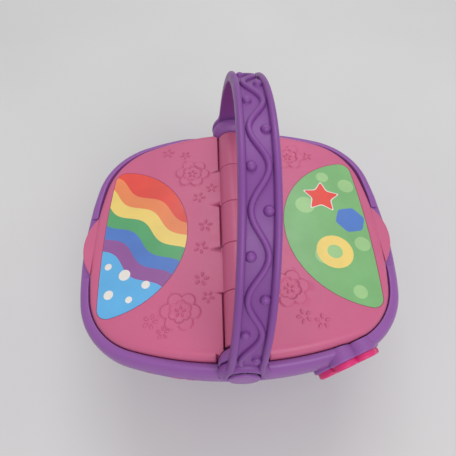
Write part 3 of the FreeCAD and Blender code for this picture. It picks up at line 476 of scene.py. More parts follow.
def flower_rows(place, levels, ring, lean=0.0):
    """Rows of a flower form at levels of petal radius and height, which may lean out at the top."""
    rows = []
    for petal, height in levels:
        outline = flower_ring(ring, petal)
        rows.append([tuple(place @ Vector((x, y, height + lean * y))) for x, y in outline])
    return np.array(rows)


# Basket shell: a stepped rim swept round the outline, over a wall with a woven relief

WEAVE_LOW = 12.0
WEAVE_HIGH = 87.0
WEAVE_ROWS = 6
WEAVE_CELLS = 48
WEAVE_DEPTH = 0.7
WEAVE_PITCH = 0.9
PLAIN_SPOTS = ((GRILLE, 24.5), (BUTTON, 27.0))
BACK_RISE = 2.8
TAB_DIP = 1.6
END_TRIM = 0.45
CURB_MID = 2.8
CURB_HALF = 5.5
CURB_GAP = 0.9
CURB_ROUND = 0.9
LIP_IN = 5.9
LIP_OUT = 8.3
SEAT_IN = -2.5
LEDGE_IN = -5.5
LEDGE_LOW = 95.5


def weave(u, v):
    """Height of a plain woven pattern, u in cells round the wall and v in rows up it."""
    i, j = np.floor(u), np.floor(v)
    fu, fv = u - i, v - j
    across = (i + j) % 2 < 0.5
    a = np.where(across, fv, fu)
    b = np.where(across, fu, fv)
    strand = 1 - np.abs(2 * a - 1) ** 4
    ends = 1 - 0.75 * np.abs(2 * b - 1) ** 5
    ribs = 0.14 * np.cos(3 * 2 * np.pi * a)
    return strand * ends * (1 + ribs)


def curb_fall(x, y):
    """How far the top of the rim lies below its highest line: a roof line, lower beside the tabs."""
    behind = step(y, 10.0, 70.0) * step(np.abs(x), 20.0, 46.0)
    fall = CURB_ARCH - np.sqrt(CURB_ARCH**2 - x**2) - BACK_RISE * behind
    beside = 1.0 - step(np.abs(y - TAB_MID), TAB_HALF - 1.0, TAB_HALF + 13.0)
    return fall + np.where(np.abs(x) > 80.0, TAB_DIP * beside, 0.0)


def build_shell():
    ring = loop(1.0)
    base, normal = ring[:, :2], ring[:, 2:]
    stride = np.linalg.norm(np.roll(base, -1, 0) - base, axis=1)
    way = np.concatenate([[0.0], np.cumsum(stride)[:-1]]) / stride.sum()
    low = [(wall_offset(z), z) for z in (SHELL_BOTTOM, WEAVE_LOW - 1.5)]
    rows = int((WEAVE_HIGH - WEAVE_LOW) / WEAVE_PITCH)
    wall = [(wall_offset(z), z) for z in np.linspace(WEAVE_LOW, WEAVE_HIGH, rows + 1)]
    rim = [(wall_offset(z), z) for z in (LIP_LOW - 1, GROOVE_TOP)]
    rim += [(LIP_IN, GROOVE_TOP), (LIP_IN, LIP_LOW + 0.6)]
    rim += arc_points(LIP_IN + 0.6, LIP_LOW + 0.6, 0.6, 180, 270, 4)[1:]
    rim += arc_points(LIP_OUT - 0.8, LIP_LOW + 0.8, 0.8, 270, 360, 4)
    rim += [(LIP_OUT, CURB_LOW - 1.5)]
    bulge = arc_points(0.0, 0.0, 1.0, 0, 90, 17)
    curb = [(CURB_MID + CURB_HALF * c, CURB_LOW + (CURB_TOP - CURB_LOW) * s) for c, s in bulge]
    curb += arc_points(CURB_GAP + CURB_ROUND, CURB_TOP - CURB_ROUND, CURB_ROUND, 90, 180, 5)
    seat = [(CURB_GAP, RIM_TOP + 0.4), (0.6, RIM_TOP)]
    seat += arc_points(SEAT_IN + 0.6, RIM_TOP - 0.6, 0.6, 90, 180, 4)
    seat += [(SEAT_IN, RIM_UNDER), (LEDGE_IN, RIM_UNDER), (LEDGE_IN, LEDGE_LOW)]
    seat += [(wall_offset(z) - WALL, z) for z in (LEDGE_LOW, SHELL_BOTTOM)]
    profile = low + wall + rim + curb + seat
    first_curb = len(low) + len(wall) + len(rim)
    points = np.zeros((len(ring), len(profile), 3))
    for k, (offset, z) in enumerate(profile):
        inner = first_curb + len(bulge) <= k < first_curb + len(curb) + 1
        near = END_TRIM * np.abs(normal[:, 1:]) if inner else 0.0
        points[:, k, :2] = base + normal * (offset - near)
        points[:, k, 2] = z
        if first_curb <= k < first_curb + len(curb):
            share = (z - CURB_LOW) / (CURB_TOP - CURB_LOW)
            points[:, k, 2] -= curb_fall(points[:, k, 0], points[:, k, 1]) * share
    block = points[:, len(low) : len(low) + len(wall)]
    v = (block[..., 2] - WEAVE_LOW) / (WEAVE_HIGH - WEAVE_LOW) * WEAVE_ROWS
    v = np.clip(v, 1e-6, WEAVE_ROWS - 1e-6)
    u = np.repeat((way * WEAVE_CELLS)[:, None], block.shape[1], 1)
    height = WEAVE_DEPTH * weave(u, v)
    for place, reach in PLAIN_SPOTS:
        gap = np.linalg.norm(block - np.array(place.translation), axis=-1)
        height *= np.clip((gap - reach) / 2.0, 0.0, 1.0)
    block[..., :2] += (normal[:, None] * height[..., None]) * math.cos(WALL_TILT)
    block[..., 2] -= height * math.sin(WALL_TILT)
    return Build().sweep(points, closed=True)


# Room in the shell for the handle's feet, the tabs, the posts, the bezel and the sound

SCOOP = [(0.0, 0.0), (15.8, 0.0), (16.8, 1.0), (16.8, 20.0), (0.0, 20.0)]
SOUND = [(0.0, -8.0), (14.8, -8.0), (14.8, 6.0), (0.0, 6.0)]
TAB_ROOM = (TAB_MID - TAB_HALF - 1.0, TAB_MID + TAB_HALF + 1.0)
POST_ROOM = (-POST_R - 0.3, POST_R + 0.3)
ROOM_HIGH = (RIM_TOP + 0.02, 120.0)
PETAL_X = BUTTON_RING / 2
PETAL_Y = 12.3
BEZEL_ROOM = 10.1
BEZEL_DEPTHS = (-15.0, 24.0)

shell = make("basket", build_shell(), "basket", [purple], ["basket_shell"])
scoops = [Build().lathe(SCOOP, along_y(side * POST_OUTER, side), 96) for side in SIDES]
gaps = Build()
for side in SIDES:
    beyond = sorted((side * 80.0, side * 130.0))
    gaps.box(*beyond, *TAB_ROOM, *ROOM_HIGH)
    gaps.box(*POST_ROOM, *beyond, *ROOM_HIGH)
half_room = [(-PETAL_X - x, PETAL_Y + y) for x, y in arc_points(0, 0, BEZEL_ROOM, 15.7, 90, 12)]
half_room += [(-PETAL_X, 34.0)]
room = half_room + [(-x, y) for x, y in reversed(half_room)]
opening_rows = [[tuple(BUTTON @ Vector((x, y, depth))) for x, y in room] for depth in BEZEL_DEPTHS]
opening = Build().sweep(opening_rows, caps=True)
seat = Build().sweep(flower_rows(BUTTON, [(10.0, 1.2), (10.0, 24.0)], BUTTON_RING), caps=True)
sound = Build().lathe(SOUND, GRILLE, 48)
carve(shell, [*scoops, gaps, opening, seat, sound])

# Hinge posts: round noses on upright footings

POST_BOSS = [(1.5, -1.0), (6.0, -1.0), (6.0, 4.0), (1.5, 4.0)]


def post_radius(y):
    """Radius of the post at a distance from the middle."""
    into = min(max(y - POST_INNER, 0.0), POST_ROUND)
    return POST_R - POST_ROUND + math.sqrt(max(0.0, POST_ROUND**2 - (POST_ROUND - into) ** 2))


def build_post(side):
    nose = np.linspace(0.0, math.pi / 2, 14)
    stations = [(POST_INNER + POST_ROUND * (1 - math.cos(a)), 0.0) for a in nose]
    stations += [(POST_OUTER - 0.35, 0.1), (POST_OUTER - 0.15, 0.32), (POST_OUTER, 0.75)]
    rows = []
    for y, trim in stations:
        r = post_radius(y) - trim
        row = [(-r, side * y, RIM_TOP - 0.4), (-r, side * y, POST_ROOT)]
        for a in np.linspace(0, math.pi, 33):
            row.append((-r * math.cos(a), side * y, AXIS_Z + r * math.sin(a)))
        row += [(r, side * y, POST_ROOT), (r, side * y, RIM_TOP - 0.4)]
        rows.append(row)
    build = Build().sweep(rows, caps=True)
    return build.lathe(POST_BOSS, along_y(side * POST_OUTER, side), 48)


make("back_post", build_post(1.0), "basket", [purple], ["back_hinge_post"])
make("front_post", build_post(-1.0), "basket", [purple], ["front_hinge_post"])

# Flower bezel, cut off behind at the wall and the rim, and flower button

FACE_LEAN = math.tan(math.radians(7.0))
TRIM_HEIGHTS = (20.0, 84.0, 97.0, 103.0, 130.0)
BUTTON_STEM = [(0.01, -5.6), (5.0, -5.6), (5.0, 4.6), (0.01, 4.6)]

bezel_levels = [(10.2, 4.5)] + arc_points(8.7, 5.1, 1.5, 0, 76, 9) + [(8.95, 6.5), (8.85, 6.2)]
bezel_rows = (
    flower_rows(BUTTON, [(9.9, -14.0), (10.2, -2.0), (10.2, 0.8)], BUTTON_RING),
    flower_rows(BUTTON, bezel_levels, BUTTON_RING, FACE_LEAN),
    flower_rows(BUTTON, [(8.85, 2.4)], BUTTON_RING),
)
bezel = Build().sweep(np.concatenate(bezel_rows), caps=True)
bezel_piece = make("bezel", bezel, "basket", [purple], ["flower_bezel"])
trim_rows = []
for z in TRIM_HEIGHTS:
    reach = min(wall_offset(z) - 0.3, CURB_GAP)
    trim_rows.append([(x + nx * reach, y + ny * reach, z) for x, y, nx, ny in loop(2.0)])
carve(bezel_piece, [Build().sweep(trim_rows, caps=True)])

button_levels = [(8.4, 8.4)] + arc_points(6.6, 8.8, 1.8, 0, 84, 9) + [(4.2, 10.6)]
button_rows = (
    flower_rows(BUTTON, [(7.6, 4.1), (8.3, 4.35), (8.4, 4.8)], BUTTON_RING),
    flower_rows(BUTTON, button_levels, BUTTON_RING, FACE_LEAN),
)
button = Build().sweep(np.concatenate(button_rows), caps=True)
button.lathe(BUTTON_STEM, BUTTON, 48)
make("button", button, "button", [hot_pink], ["flower_button"])

# Speaker grille: a soft-edged flower with sound holes

HOLE = [(0.0, 0.0), (1.5, 0.0), (1.5, 12.0), (0.0, 12.0)]

grille_levels = [(8.2, -1.0), (8.2, 3.2)] + arc_points(6.2, 3.4, 2.0, 0, 84, 9) + [(3.6, 5.4)]
grille = Build().sweep(flower_rows(GRILLE, grille_levels, GRILLE_RING), caps=True)
grille_piece = make("grille", grille, "basket", [hot_pink], ["speaker_grille"])
holes = []
for count, ring in ((1, 0.0), (6, 5.5), (12, 11.0)):
    for i in range(count):
        spin = 2 * math.pi * i / count
        spot = Matrix.Translation((ring * math.cos(spin), ring * math.sin(spin), -3.0))
        holes.append(Build().lathe(HOLE, GRILLE @ spot, 20))
carve(grille_piece, holes)

# Carry handle: strap with two round flanges, a wave, beads and a rimmed foot at each end

TO_AXIS = Matrix.Translation((0, 0, AXIS_Z))
HANDLE = TO_AXIS @ Matrix.Rotation(LEAN, 4, "Y") @ TO_AXIS.inverted()
STRAP_CREASE = 50.0
FLANGE = 4.2
FLARE = 2.6
FLARE_ANGLE = 9.0
WAVE_FROM = 9.2
WAVE_COUNT = 460
WAVE_HALF = 1.75
WAVE_RISE = 2.4
WAVE_ENDS = 7.0
BEAD_REACH = 0.92
CAP_Y = 106.9
CAP_SEAT_Y = 103.4
CAP_SEAT = [(0.0, 0.0), (9.75, 0.0), (9.75, 20.0), (0.0, 20.0)]


def on_arch(angle, x, radius):
    turn = math.radians(angle)
    return HANDLE @ Vector((x, -radius * math.cos(turn), AXIS_Z + radius * math.sin(turn)))


def strap_row(angle):
    """Section of the strap at an angle up from the front foot."""
    half = STRAP_HALF + FLARE * (1 - step(min(angle, 180 - angle), 0.0, FLARE_ANGLE))
    rise = STRAP_OUT - STRAP_FACE
    mid = half - FLANGE / 2
    right = arc_points(half - 1.0, STRAP_IN + 1.0, 1.0, -90, 0, 5)
    right += [(half, STRAP_FACE - 0.6)]
    for a in np.radians(np.linspace(0, 180, 15)):
        x = mid + FLANGE / 2 * math.cos(a)
        right.append((x, STRAP_FACE - 0.1 + (rise + 0.1) * math.sin(a) ** 0.8))
    right += [(half - FLANGE - 0.4, STRAP_FACE - 0.06), (half - FLANGE - 1.2, STRAP_FACE)]
    left = [(-x, r) for x, r in reversed(right)]
    return [on_arch(angle, x, r) for x, r in right + left]


def wave_x(angle):
    return -WAVE_REACH * math.cos(math.pi * (angle - WAVE_START) / WAVE_STEP)


def wave_row(i):
    """Section of the wave, which thins out at both ends."""
    a = WAVE_FROM + (180 - 2 * WAVE_FROM) * i / WAVE_COUNT
    ahead = wave_x(a + 0.05) - wave_x(a - 0.05)
    along = math.radians(0.1) * STRAP_FACE
    length = math.hypot(ahead, along)
    close = min(i, WAVE_COUNT - i) / WAVE_ENDS
    size = math.sqrt(1 - max(0.0, 1 - close) ** 2)
    half = max(0.02, WAVE_HALF * size)
    row = []
    for t in np.linspace(0, math.pi, 11):
        off = half * math.cos(t)
        rise = WAVE_RISE * max(0.02, size) * math.sin(t) ** 0.9
        angle = a - math.degrees(off * ahead / length / STRAP_FACE)
        row.append(on_arch(angle, wave_x(a) + off * along / length, STRAP_FACE + rise))
    row.append(on_arch(a, wave_x(a), STRAP_FACE - 0.4))
    return row


def build_handle():
    spans = ((0, 12, 25), (13, 167, 112), (168, 180, 25))
    build = Build().sweep([strap_row(a) for span in spans for a in np.linspace(*span)], caps=True)
    build.sweep([wave_row(i) for i in range(WAVE_COUNT + 1)], caps=True)
    foot = [(6.1, 0.4), (11.8, 0.4)]
    foot += [(12.4 + 3.6 * math.cos(a), 3.9 + 3.5 * math.sin(a)) for a in np.linspace(-1.57, 1.57, 17)]
    foot += [(10.6, 7.1), (9.9, 6.6), (9.8, 3.5), (6.1, 3.5)]
    for side in SIDES:
        build.lathe(foot, HANDLE @ along_y(side * POST_OUTER, side), 96)
    return build


handle_piece = make(
    "handle", build_handle(), "handle", [purple_handle], ["handle"], STRAP_CREASE
)
cap_seats = [Build().lathe(CAP_SEAT, HANDLE @ along_y(side * CAP_SEAT_Y, side), 64) for side in SIDES]
carve(handle_piece, cap_seats, STRAP_CREASE)

beads = Build()
dome = [(0.0, -0.6), (3.1, -0.6), (2.9, 0.2)]
dome += [(2.7 * math.cos(a), 0.4 + 2.4 * math.sin(a)) for a in np.linspace(0.0, 1.5, 9)]
dome += [(0.0, 2.8)]
for bead in np.arange(WAVE_START, 170.0, WAVE_STEP):
    bead_x = -wave_x(bead) * BEAD_REACH
    spot = on_arch(bead, bead_x, STRAP_FACE)
    outward = (on_arch(bead, bead_x, STRAP_FACE + 1) - spot).normalized()
    turn = outward.to_track_quat("Z", "Y").to_matrix().to_4x4()
    beads.lathe(dome, Matrix.Translation(spot) @ turn, 28)
make("handle_beads", beads, "handle", [purple_handle], crease=STRAP_CREASE)

caps = Build()
cap = [(0.01, 0.0), (9.6, 0.0)] + arc_points(8.5, 0.65, 1.15, 0, 80, 8) + [(4.0, 1.88), (0.01, 1.9)]
for side in SIDES:
    caps.lathe(cap, HANDLE @ along_y(side * CAP_Y, side), 72)
make("handle_cap_pair", caps, "handle", [purple], ["handle_caps"])

# Outline of the labels

LABEL_EDGE = LID_W - 11.2
LABEL_MID = -2.0
LABEL_HALF = 64.0
LABEL_DEEP = 62.0
LABEL_ROUND = 8.0
LABEL_BOW = 1.5
LABEL_STEPS = 40


def circle_through(a, b, c):
    """Centre and radius of the circle through three points."""
    d = 2 * (a[0] * (b[1] - c[1]) + b[0] * (c[1] - a[1]) + c[0] * (a[1] - b[1]))
    a2, b2, c2 = (p[0] ** 2 + p[1] ** 2 for p in (a, b, c))
    ux = (a2 * (b[1] - c[1]) + b2 * (c[1] - a[1]) + c2 * (a[1] - b[1])) / d
    uy = (a2 * (c[0] - b[0]) + b2 * (a[0] - c[0]) + c2 * (b[0] - a[0])) / d
    return np.array([ux, uy]), math.hypot(a[0] - ux, a[1] - uy)


def bearing(centre, point):
    return math.atan2(point[1] - centre[1], point[0] - centre[0])


def label_ring(shrink):
    """Outline of the label on the side where x is positive, pulled in by a distance."""
    root = math.sqrt(0.5)
    back = (LABEL_EDGE - LABEL_BOW, LABEL_MID + LABEL_HALF)
    front = (LABEL_EDGE - LABEL_BOW, LABEL_MID - LABEL_HALF)
    middle = (LABEL_EDGE + LABEL_BOW, LABEL_MID)
    nose = (LABEL_EDGE - LABEL_DEEP, LABEL_MID)
    over = (LABEL_EDGE - LABEL_DEEP * root, LABEL_MID + LABEL_HALF * root)
    c_edge, r_edge = circle_through(front, middle, back)
    c_back, r_back = circle_through(back, over, nose)
    # Corner circle tangent inside both arcs
    span = np.linalg.norm(c_back - c_edge)
    p, q = r_edge - LABEL_ROUND, r_back - LABEL_ROUND
    t = (p**2 - q**2 + span**2) / (2 * span)
    h = math.sqrt(p**2 - t**2)
    axis = (c_back - c_edge) / span
    aside = np.array([-axis[1], axis[0]])
    corner = max((c_edge + axis * t + aside * h * s for s in (1, -1)), key=lambda c: c[1])
    a0 = bearing(c_edge, corner)
    a1 = bearing(c_back, corner)
    n1 = bearing(c_back, nose)
    if n1 < a1:
        n1 += 2 * math.pi
    arcs = (
        (c_edge, r_edge, np.linspace(bearing(c_edge, middle), a0, LABEL_STEPS)[:-1]),
        (corner, LABEL_ROUND, np.linspace(a0, a1, LABEL_STEPS // 2)[:-1]),
        (c_back, r_back, np.linspace(a1, n1, LABEL_STEPS * 2)),
    )
    points = []
    for centre, radius, angles in arcs:
        points += [centre + (radius - shrink) * np.array([math.cos(a), math.sin(a)]) for a in angles]
    points = np.array(points)
    lower = points[::-1][1:-1] * [1, -1] + [0, 2 * LABEL_MID]
    return np.concatenate([points, lower])


def in_polygon(points, polygon):
    """True for the points inside a closed polygon."""
    x, y = points[:, 0], points[:, 1]
    inside = np.zeros(len(points), bool)
    for (x0, y0), (x1, y1) in zip(polygon, np.roll(polygon, -1, 0)):
        if y0 == y1:
            continue
        crosses = (y0 > y) != (y1 > y)
        at = x0 + (y - y0) * (x1 - x0) / (y1 - y0)
        inside ^= crosses & (x < at)
    return inside


# Plans that are cut into triangles and lifted to the crown


def flat(rows):
    return [Vector((float(x), float(y))) for x, y in rows]


def grid_points(x0, x1, y0, y1, pitch):
    gx, gy = np.meshgrid(np.arange(x0, x1, pitch), np.arange(y0, y1, pitch))
    return np.stack([gx.ravel(), gy.ravel()], -1)


def lifted(plan, z, sign):
    return np.column_stack([sign * plan[:, 0], plan[:, 1], np.zeros(len(plan)) + z])


def crown(x):
    return CROWN_TOP - CROWN_R + np.sqrt(CROWN_R**2 - x**2)


def edge_drop(d):
    d = np.clip(d, 0.0, LID_ROUND)
    return LID_ROUND - np.sqrt(np.maximum(0.0, LID_ROUND**2 - (LID_ROUND - d) ** 2))


class Plan:
    """Points and edges inside a ring, which comes first."""

    def __init__(self, ring):
        self.points = flat(ring)
        self.edges = []
        self.border = len(self.points)

    def curve(self, rows, closed=True):
        start = len(self.points)
        self.points += flat(rows)
        last = len(self.points) - 1
        self.edges += [(i, i + 1) for i in range(start, last)]
        if closed:
            self.edges.append((last, start))

    def triangles(self):
        """Plan points, faces and what number each point of the ring became."""
        border = list(range(self.border))
        out = delaunay_2d_cdt(self.points, self.edges, [border], 1, 1e-5, True)
        became = {source: i for i, sources in enumerate(out[3]) for source in sources}
        return np.array([tuple(v) for v in out[0]]), out[2], [became[i] for i in border]


# Moulded flowers as distance from the hinge, y, reach of the small ones and turn in degrees

BIG_LEFT = [(32.7, 52.2, 8.0), (39.3, -64.5, 5.0)]
BIG_RIGHT = [(46.2, 66.9, 0.0), (33.5, -51.6, 12.0)]
SMALL_LEFT = [
    (53.6, 77.4, 5.4, 10),
    (38.9, 73.1, 4.6, 40),
    (17.4, 36.2, 4.6, 0),
    (27.3, 27.7, 5.4, 25),
    (22.4, 1.3, 5.6, 5),
    (25.7, -17.2, 5.6, 30),
    (25.4, -42.0, 5.6, 12),
    (21.0, -55.4, 4.6, 35),
    (59.0, -69.9, 5.6, 20),
    (50.3, -77.8, 4.6, 0),
]
SMALL_RIGHT = [(62.5, 68.0, 4.8, 15), (40.8, -71.2, 5.6, 20), (52.3, -74.7, 5.6, 0)]
BIG_RING = 8.6
BIG_PETAL = 5.0
CORE_RING = 4.6
CORE_PETAL = 3.3
CORE_TURN = 30.0
BIG_EDGE = (0.6, 0.2, -0.2, -0.75)
CORE_EDGE = (0.7, 0.3, -0.1, -0.6)
HEART_REACH = 4.2
BIG_RISE = 1.3
PETAL_RISE = 1.15
PETAL_FLARE = 0.25


def flower_gap(x, y, cx, cy, turn, ring, petal):
    """Signed distance to a six-petalled outline, below zero inside."""
    best = np.hypot(x - cx, y - cy) - ring * 0.9
    for i in range(PETALS):
        a = math.radians(turn + 60 * i)
        gap = np.hypot(x - cx - ring * math.cos(a), y - cy - ring * math.sin(a)) - petal
        best = np.minimum(best, gap)
    return best


def dashes(cx, cy, reach, turn):
    """The five petals of a small flower: centre, direction and half lengths."""
    for i in range(5):
        a = math.radians(90 + turn + 72 * i)
        c, s = math.cos(a), math.sin(a)
        mid = reach * 0.62
        yield cx + mid * c, cy + mid * s, c, s, reach * 0.36, reach * 0.19


def petal_norm(x, y, spec):
    """Distance from a small petal's middle, 1 at its outline."""
    px, py, c, s, a, b = spec
    along = (x - px) * c + (y - py) * s
    aside = -(x - px) * s + (y - py) * c
    wide = b * (1 + PETAL_FLARE * np.clip(along / a, -1, 1))
    return np.sqrt((along / a) ** 2 + (aside / wide) ** 2)


def petal_curve(spec, q, count):
    """Ring inside a small petal at a share of its size."""
    px, py, c, s, a, b = spec
    rows = []
    for k in range(count):
        t = 2 * math.pi * k / count
        along = a * q * math.cos(t)
        aside = b * q * math.sin(t) * (1 + PETAL_FLARE * q * math.cos(t))
        rows.append((px + along * c - aside * s, py + along * s + aside * c))
    return rows


# Lids: crowned top with moulded flowers and a label seat, skirt, underside, tab and knuckles

LID_CREASE = 34.0
SEAT_GAP = 0.2
SEAT_DEPTH = 0.55
NOSE_PATH = np.linspace(93.4, 91.15, 8)
POST_EDGE = POST_R + SWING
EDGE_RINGS = (0.2, 0.7, 1.4, 2.2, 3.1, 4.0, 5.0, 6.4)
TAB_LOW = 103.6
TAB_TOP = 106.0
ROD_ROOM = 2.1


class LidForm:
    """One lid, built with the distance from the hinge as its first coordinate."""

    def __init__(self, owned, big, small):
        self.owned = owned
        self.big = big
        self.petals = [p for flower in small for p in dashes(*flower)]
        for cx, cy, turn in big:
            self.petals += list(dashes(cx, cy, HEART_REACH, turn))

    def height(self, p):
        """Height of the top at plan points."""
        x, y = p[:, 0], p[:, 1]
        rise = np.zeros(len(p))
        for cx, cy, turn in self.big:
            outer = flower_gap(x, y, cx, cy, turn, BIG_RING, BIG_PETAL)
            core = flower_gap(x, y, cx, cy, turn + CORE_TURN, CORE_RING, CORE_PETAL)
            bank = 1 - step(outer, BIG_EDGE[-1], BIG_EDGE[0])
            hollow = step(core, CORE_EDGE[-1], CORE_EDGE[0])
            rise = np.maximum(rise, BIG_RISE * bank * hollow)
        for spec in self.petals:
            q = petal_norm(x, y, spec)
            rise = np.maximum(rise, PETAL_RISE * np.clip(1 - q**2, 0, 1) ** 0.75)
        z = crown(x) - edge_drop(inset(x, y)) + rise
        return np.where(in_polygon(p, label_ring(-SEAT_GAP)), z - SEAT_DEPTH, z)

    def inner_edge(self):
        """Plan points of the hinge side, from the back of the lid to its front."""
        beside = BARREL + SWING
        nose = [(max(beside, post_radius(y) + SWING), y) for y in NOSE_PATH]
        nose.append((beside, BARREL_END))
        rows = nose[:]
        for i in reversed(range(KNUCKLES)):
            own = i in self.owned
            room = -SWING if own else SWING
            low = -BARREL_END + i * KNUCKLE - room
            high = -BARREL_END + i * KNUCKLE + KNUCKLE + room
            if not own:
                low = max(low, -BARREL_END + SWING)
                high = min(high, BARREL_END - SWING)
            s = BARREL - 0.7 if own else beside
            rows += [(s, y) for y in np.linspace(high, low, 9)]
        rows += [(s, -y) for s, y in reversed(nose)]
        return np.array(rows)

    def outer_edge(self):
        """Plan points and normals of the outline from the front of the lid to its back."""
        back = [r for r in quarter(1.6) if r[0] > POST_EDGE + 0.6]
        end = np.array([POST_EDGE, C_END[1] + math.sqrt(R_END**2 - POST_EDGE**2)])
        back.append(np.concatenate([end, (end - C_END) / R_END]))
        back = np.array(back)
        front = back[::-1][:-1] * [1, -1, 1, -1]
        return np.concatenate([front, back])

    def top_plan(self, ring, outer):
        """Plan of the top with curves along its edges, its label seat and its flowers."""
        plan = Plan(ring)
        for d in EDGE_RINGS:
            row = outer[:, :2] - outer[:, 2:] * d
            plan.curve(row[row[:, 0] > POST_EDGE + 0.4], False)
        for i in range(KNUCKLES):
            s = BARREL if i in self.owned else BARREL + SWING + 0.7
            low = -BARREL_END + i * KNUCKLE
            plan.curve([(s, y) for y in np.linspace(low + 1.6, low + KNUCKLE - 1.6, 9)], False)
        for shrink in (-0.35, -0.1):
            plan.curve(label_ring(shrink))
        for cx, cy, turn in self.big:
            for d in BIG_EDGE:
                plan.curve(flower_ring(BIG_RING, BIG_PETAL + d, 10, math.radians(turn)) + [cx, cy])
            for d in CORE_EDGE:
                core = flower_ring(CORE_RING, CORE_PETAL + d, 7, math.radians(turn + CORE_TURN))
                plan.curve(core + [cx, cy])
        for spec in self.petals:
            for q, count in ((1.0, 18), (0.82, 16), (0.5, 12)):
                plan.curve(petal_curve(spec, q, count))
            plan.points += flat([spec[:2]])
        grid = grid_points(14.0, 105.0, -92.0, 92.1, 3.4)
        grid[:, 0] += 0.01 * np.sin(grid[:, 1])
        x, y = grid[:, 0], grid[:, 1]
        keep = (inset(x, y) > 8.2) & (x > 17.5)
        for cx, cy, turn in self.big:
            keep &= np.hypot(x - cx, y - cy) > 15.0
        for spec in self.petals:
            keep &= np.hypot(x - spec[0], y - spec[1]) > spec[4] + 0.8
        near = in_polygon(grid, label_ring(-2.0)) & ~in_polygon(grid, label_ring(1.2))
        plan.points += flat(grid[keep & ~near])
        return plan

    def build(self, sign):
        outer = self.outer_edge()
        inner = self.inner_edge()
        shrunk = outer[:, :2] - outer[:, 2:] * LID_WALL
        n_out = len(outer)
        build = Build()
        ring = np.concatenate([outer[:, :2], [shrunk[-1]], inner, [shrunk[0]]])
        plan, faces, became = self.top_plan(ring, outer).triangles()
        start = build.add(lifted(plan, self.height(plan), sign), faces)
        upper = [start + i for i in became]
        # Underside inside the skirt
        under = Plan(np.concatenate([shrunk, inner]))
        grid = grid_points(18.0, 105.0, -91.0, 91.1, 7.0)
        under.points += flat(grid[inset(grid[:, 0], grid[:, 1]) > LID_WALL + 3.0])
        plan, faces, became = under.triangles()
        start = build.add(lifted(plan, crown(plan[:, 0]) - LID_WALL, sign), [f[::-1] for f in faces])
        lower = [start + i for i in became]
        # Skirt down, round its foot and up inside
        foot = []
        edge = outer[:, :2]
        rounded = edge - outer[:, 2:] * 0.5
        for plan, z in ((edge, LID_LOW + 0.5), (rounded, LID_LOW), (shrunk, LID_LOW)):
            base = build.add(lifted(plan, z, sign))
            foot.append(range(base, base + n_out))
        strips = [upper[:n_out], *foot, lower[:n_out]]
        for first, second in zip(strips, strips[1:]):
            for i in range(n_out - 1):
                build.face((first[i], first[i + 1], second[i + 1], second[i]))
        # Wall of the hinge side, and the ends of the skirt
        chain_top = upper[n_out:]
        chain_low = [lower[n_out - 1], *lower[n_out:], lower[0]]
        for i in range(len(chain_top) - 1):
            build.face((chain_top[i], chain_top[i + 1], chain_low[i + 1], chain_low[i]))
        for column, top_in in ((n_out - 1, upper[n_out]), (0, upper[-1])):
            build.face([strip[column] for strip in strips] + [top_in])
        self.tab(build, sign)
        self.knuckles(build)
        return build

    def tab(self, build, sign):
        """Finger tab at the outer middle."""
        root = LID_W - LID_WALL + 0.3
        start, stop = TAB_MID - TAB_HALF, TAB_MID + TAB_HALF
        centre, radius = circle_through((root, start), (LID_W + TAB_REACH, TAB_MID), (root, stop))
        levels = [(0.5, TAB_LOW), (0.05, TAB_LOW + 0.3), (0.0, TAB_LOW + 0.8), (0.0, TAB_TOP)]
        for a in np.linspace(0.2, 1.5, 7):
            levels.append((1.5 - 1.5 * math.cos(a), TAB_TOP + 1.6 * math.sin(a)))
        rows = []
        for pull, z in levels:
            r = radius - pull
            reach = math.acos((root - centre[0]) / r)
            row = []
            for a in np.linspace(-reach, reach, 61):
                row.append((sign * (centre[0] + r * math.cos(a)), centre[1] + r * math.sin(a), z))
            rows.append(row)
        build.sweep(rows, caps=True)

    def knuckles(self, build):
        """Round knuckles on the hinge axis with softened ends."""
        length = KNUCKLE - 0.4
        end = [(ROD_ROOM, 0.0), (BARREL - 0.8, 0.0), (BARREL - 0.3, 0.12), (BARREL - 0.05, 0.45)]
        end.append((BARREL, 0.9))
        profile = end + [(BARREL, length / 2)] + [(r, length - h) for r, h in reversed(end)]
        for i in self.owned:
            build.lathe(profile, along_y(-BARREL_END + i * KNUCKLE + 0.2), 72)


left_form = LidForm((1, 3), BIG_LEFT, SMALL_LEFT).build(-1.0)
right_form = LidForm((0, 2, 4), BIG_RIGHT, SMALL_RIGHT).build(1.0)
make("lid_left", left_form, "left_lid", [pink], ["left_lid"], LID_CREASE)
make("lid_right", right_form, "right_lid", [pink], ["right_lid"], LID_CREASE)

# Labels: printed film with plain bands and shapes

INK_COLOURS = {
    "sky": (92, 168, 218),
    "red": (218, 72, 62),
    "orange": (226, 132, 84),
    "yellow": (228, 200, 112),
    "green": (84, 158, 104),
    "blue": (78, 118, 190),
    "purple": (140, 84, 148),
    "white": (222, 216, 210),
    "leaf": (118, 172, 112),
    "pale": (150, 192, 132),
}
inks = {name: film("ink_" + name, srgb(*colour)) for name, colour in INK_COLOURS.items()}
FILM_GAP = 0.12
FILM_TOP = 0.08
FILM_UNDER = 0.45
BAND = 11.0
BAND_TOP = 38.0
BAND_SWING = 3.2
BAND_LENGTH = 46.0
BAND_PHASE = 0.4
BAND_TURN = math.radians(38.0)
BAND_MID = 68.0


def soften(raw, share):
    """Polygon with each corner rounded by a quadratic curve."""
    rows = []
    for i in range(len(raw)):
        p, c, q = (np.array(raw[k % len(raw)]) for k in (i - 1, i, i + 1))
        a, b = c + (p - c) * share, c + (q - c) * share
        for t in np.linspace(0, 1, 5):
            rows.append((1 - t) ** 2 * a + 2 * t * (1 - t) * c + t * t * b)
    return np.array(rows)


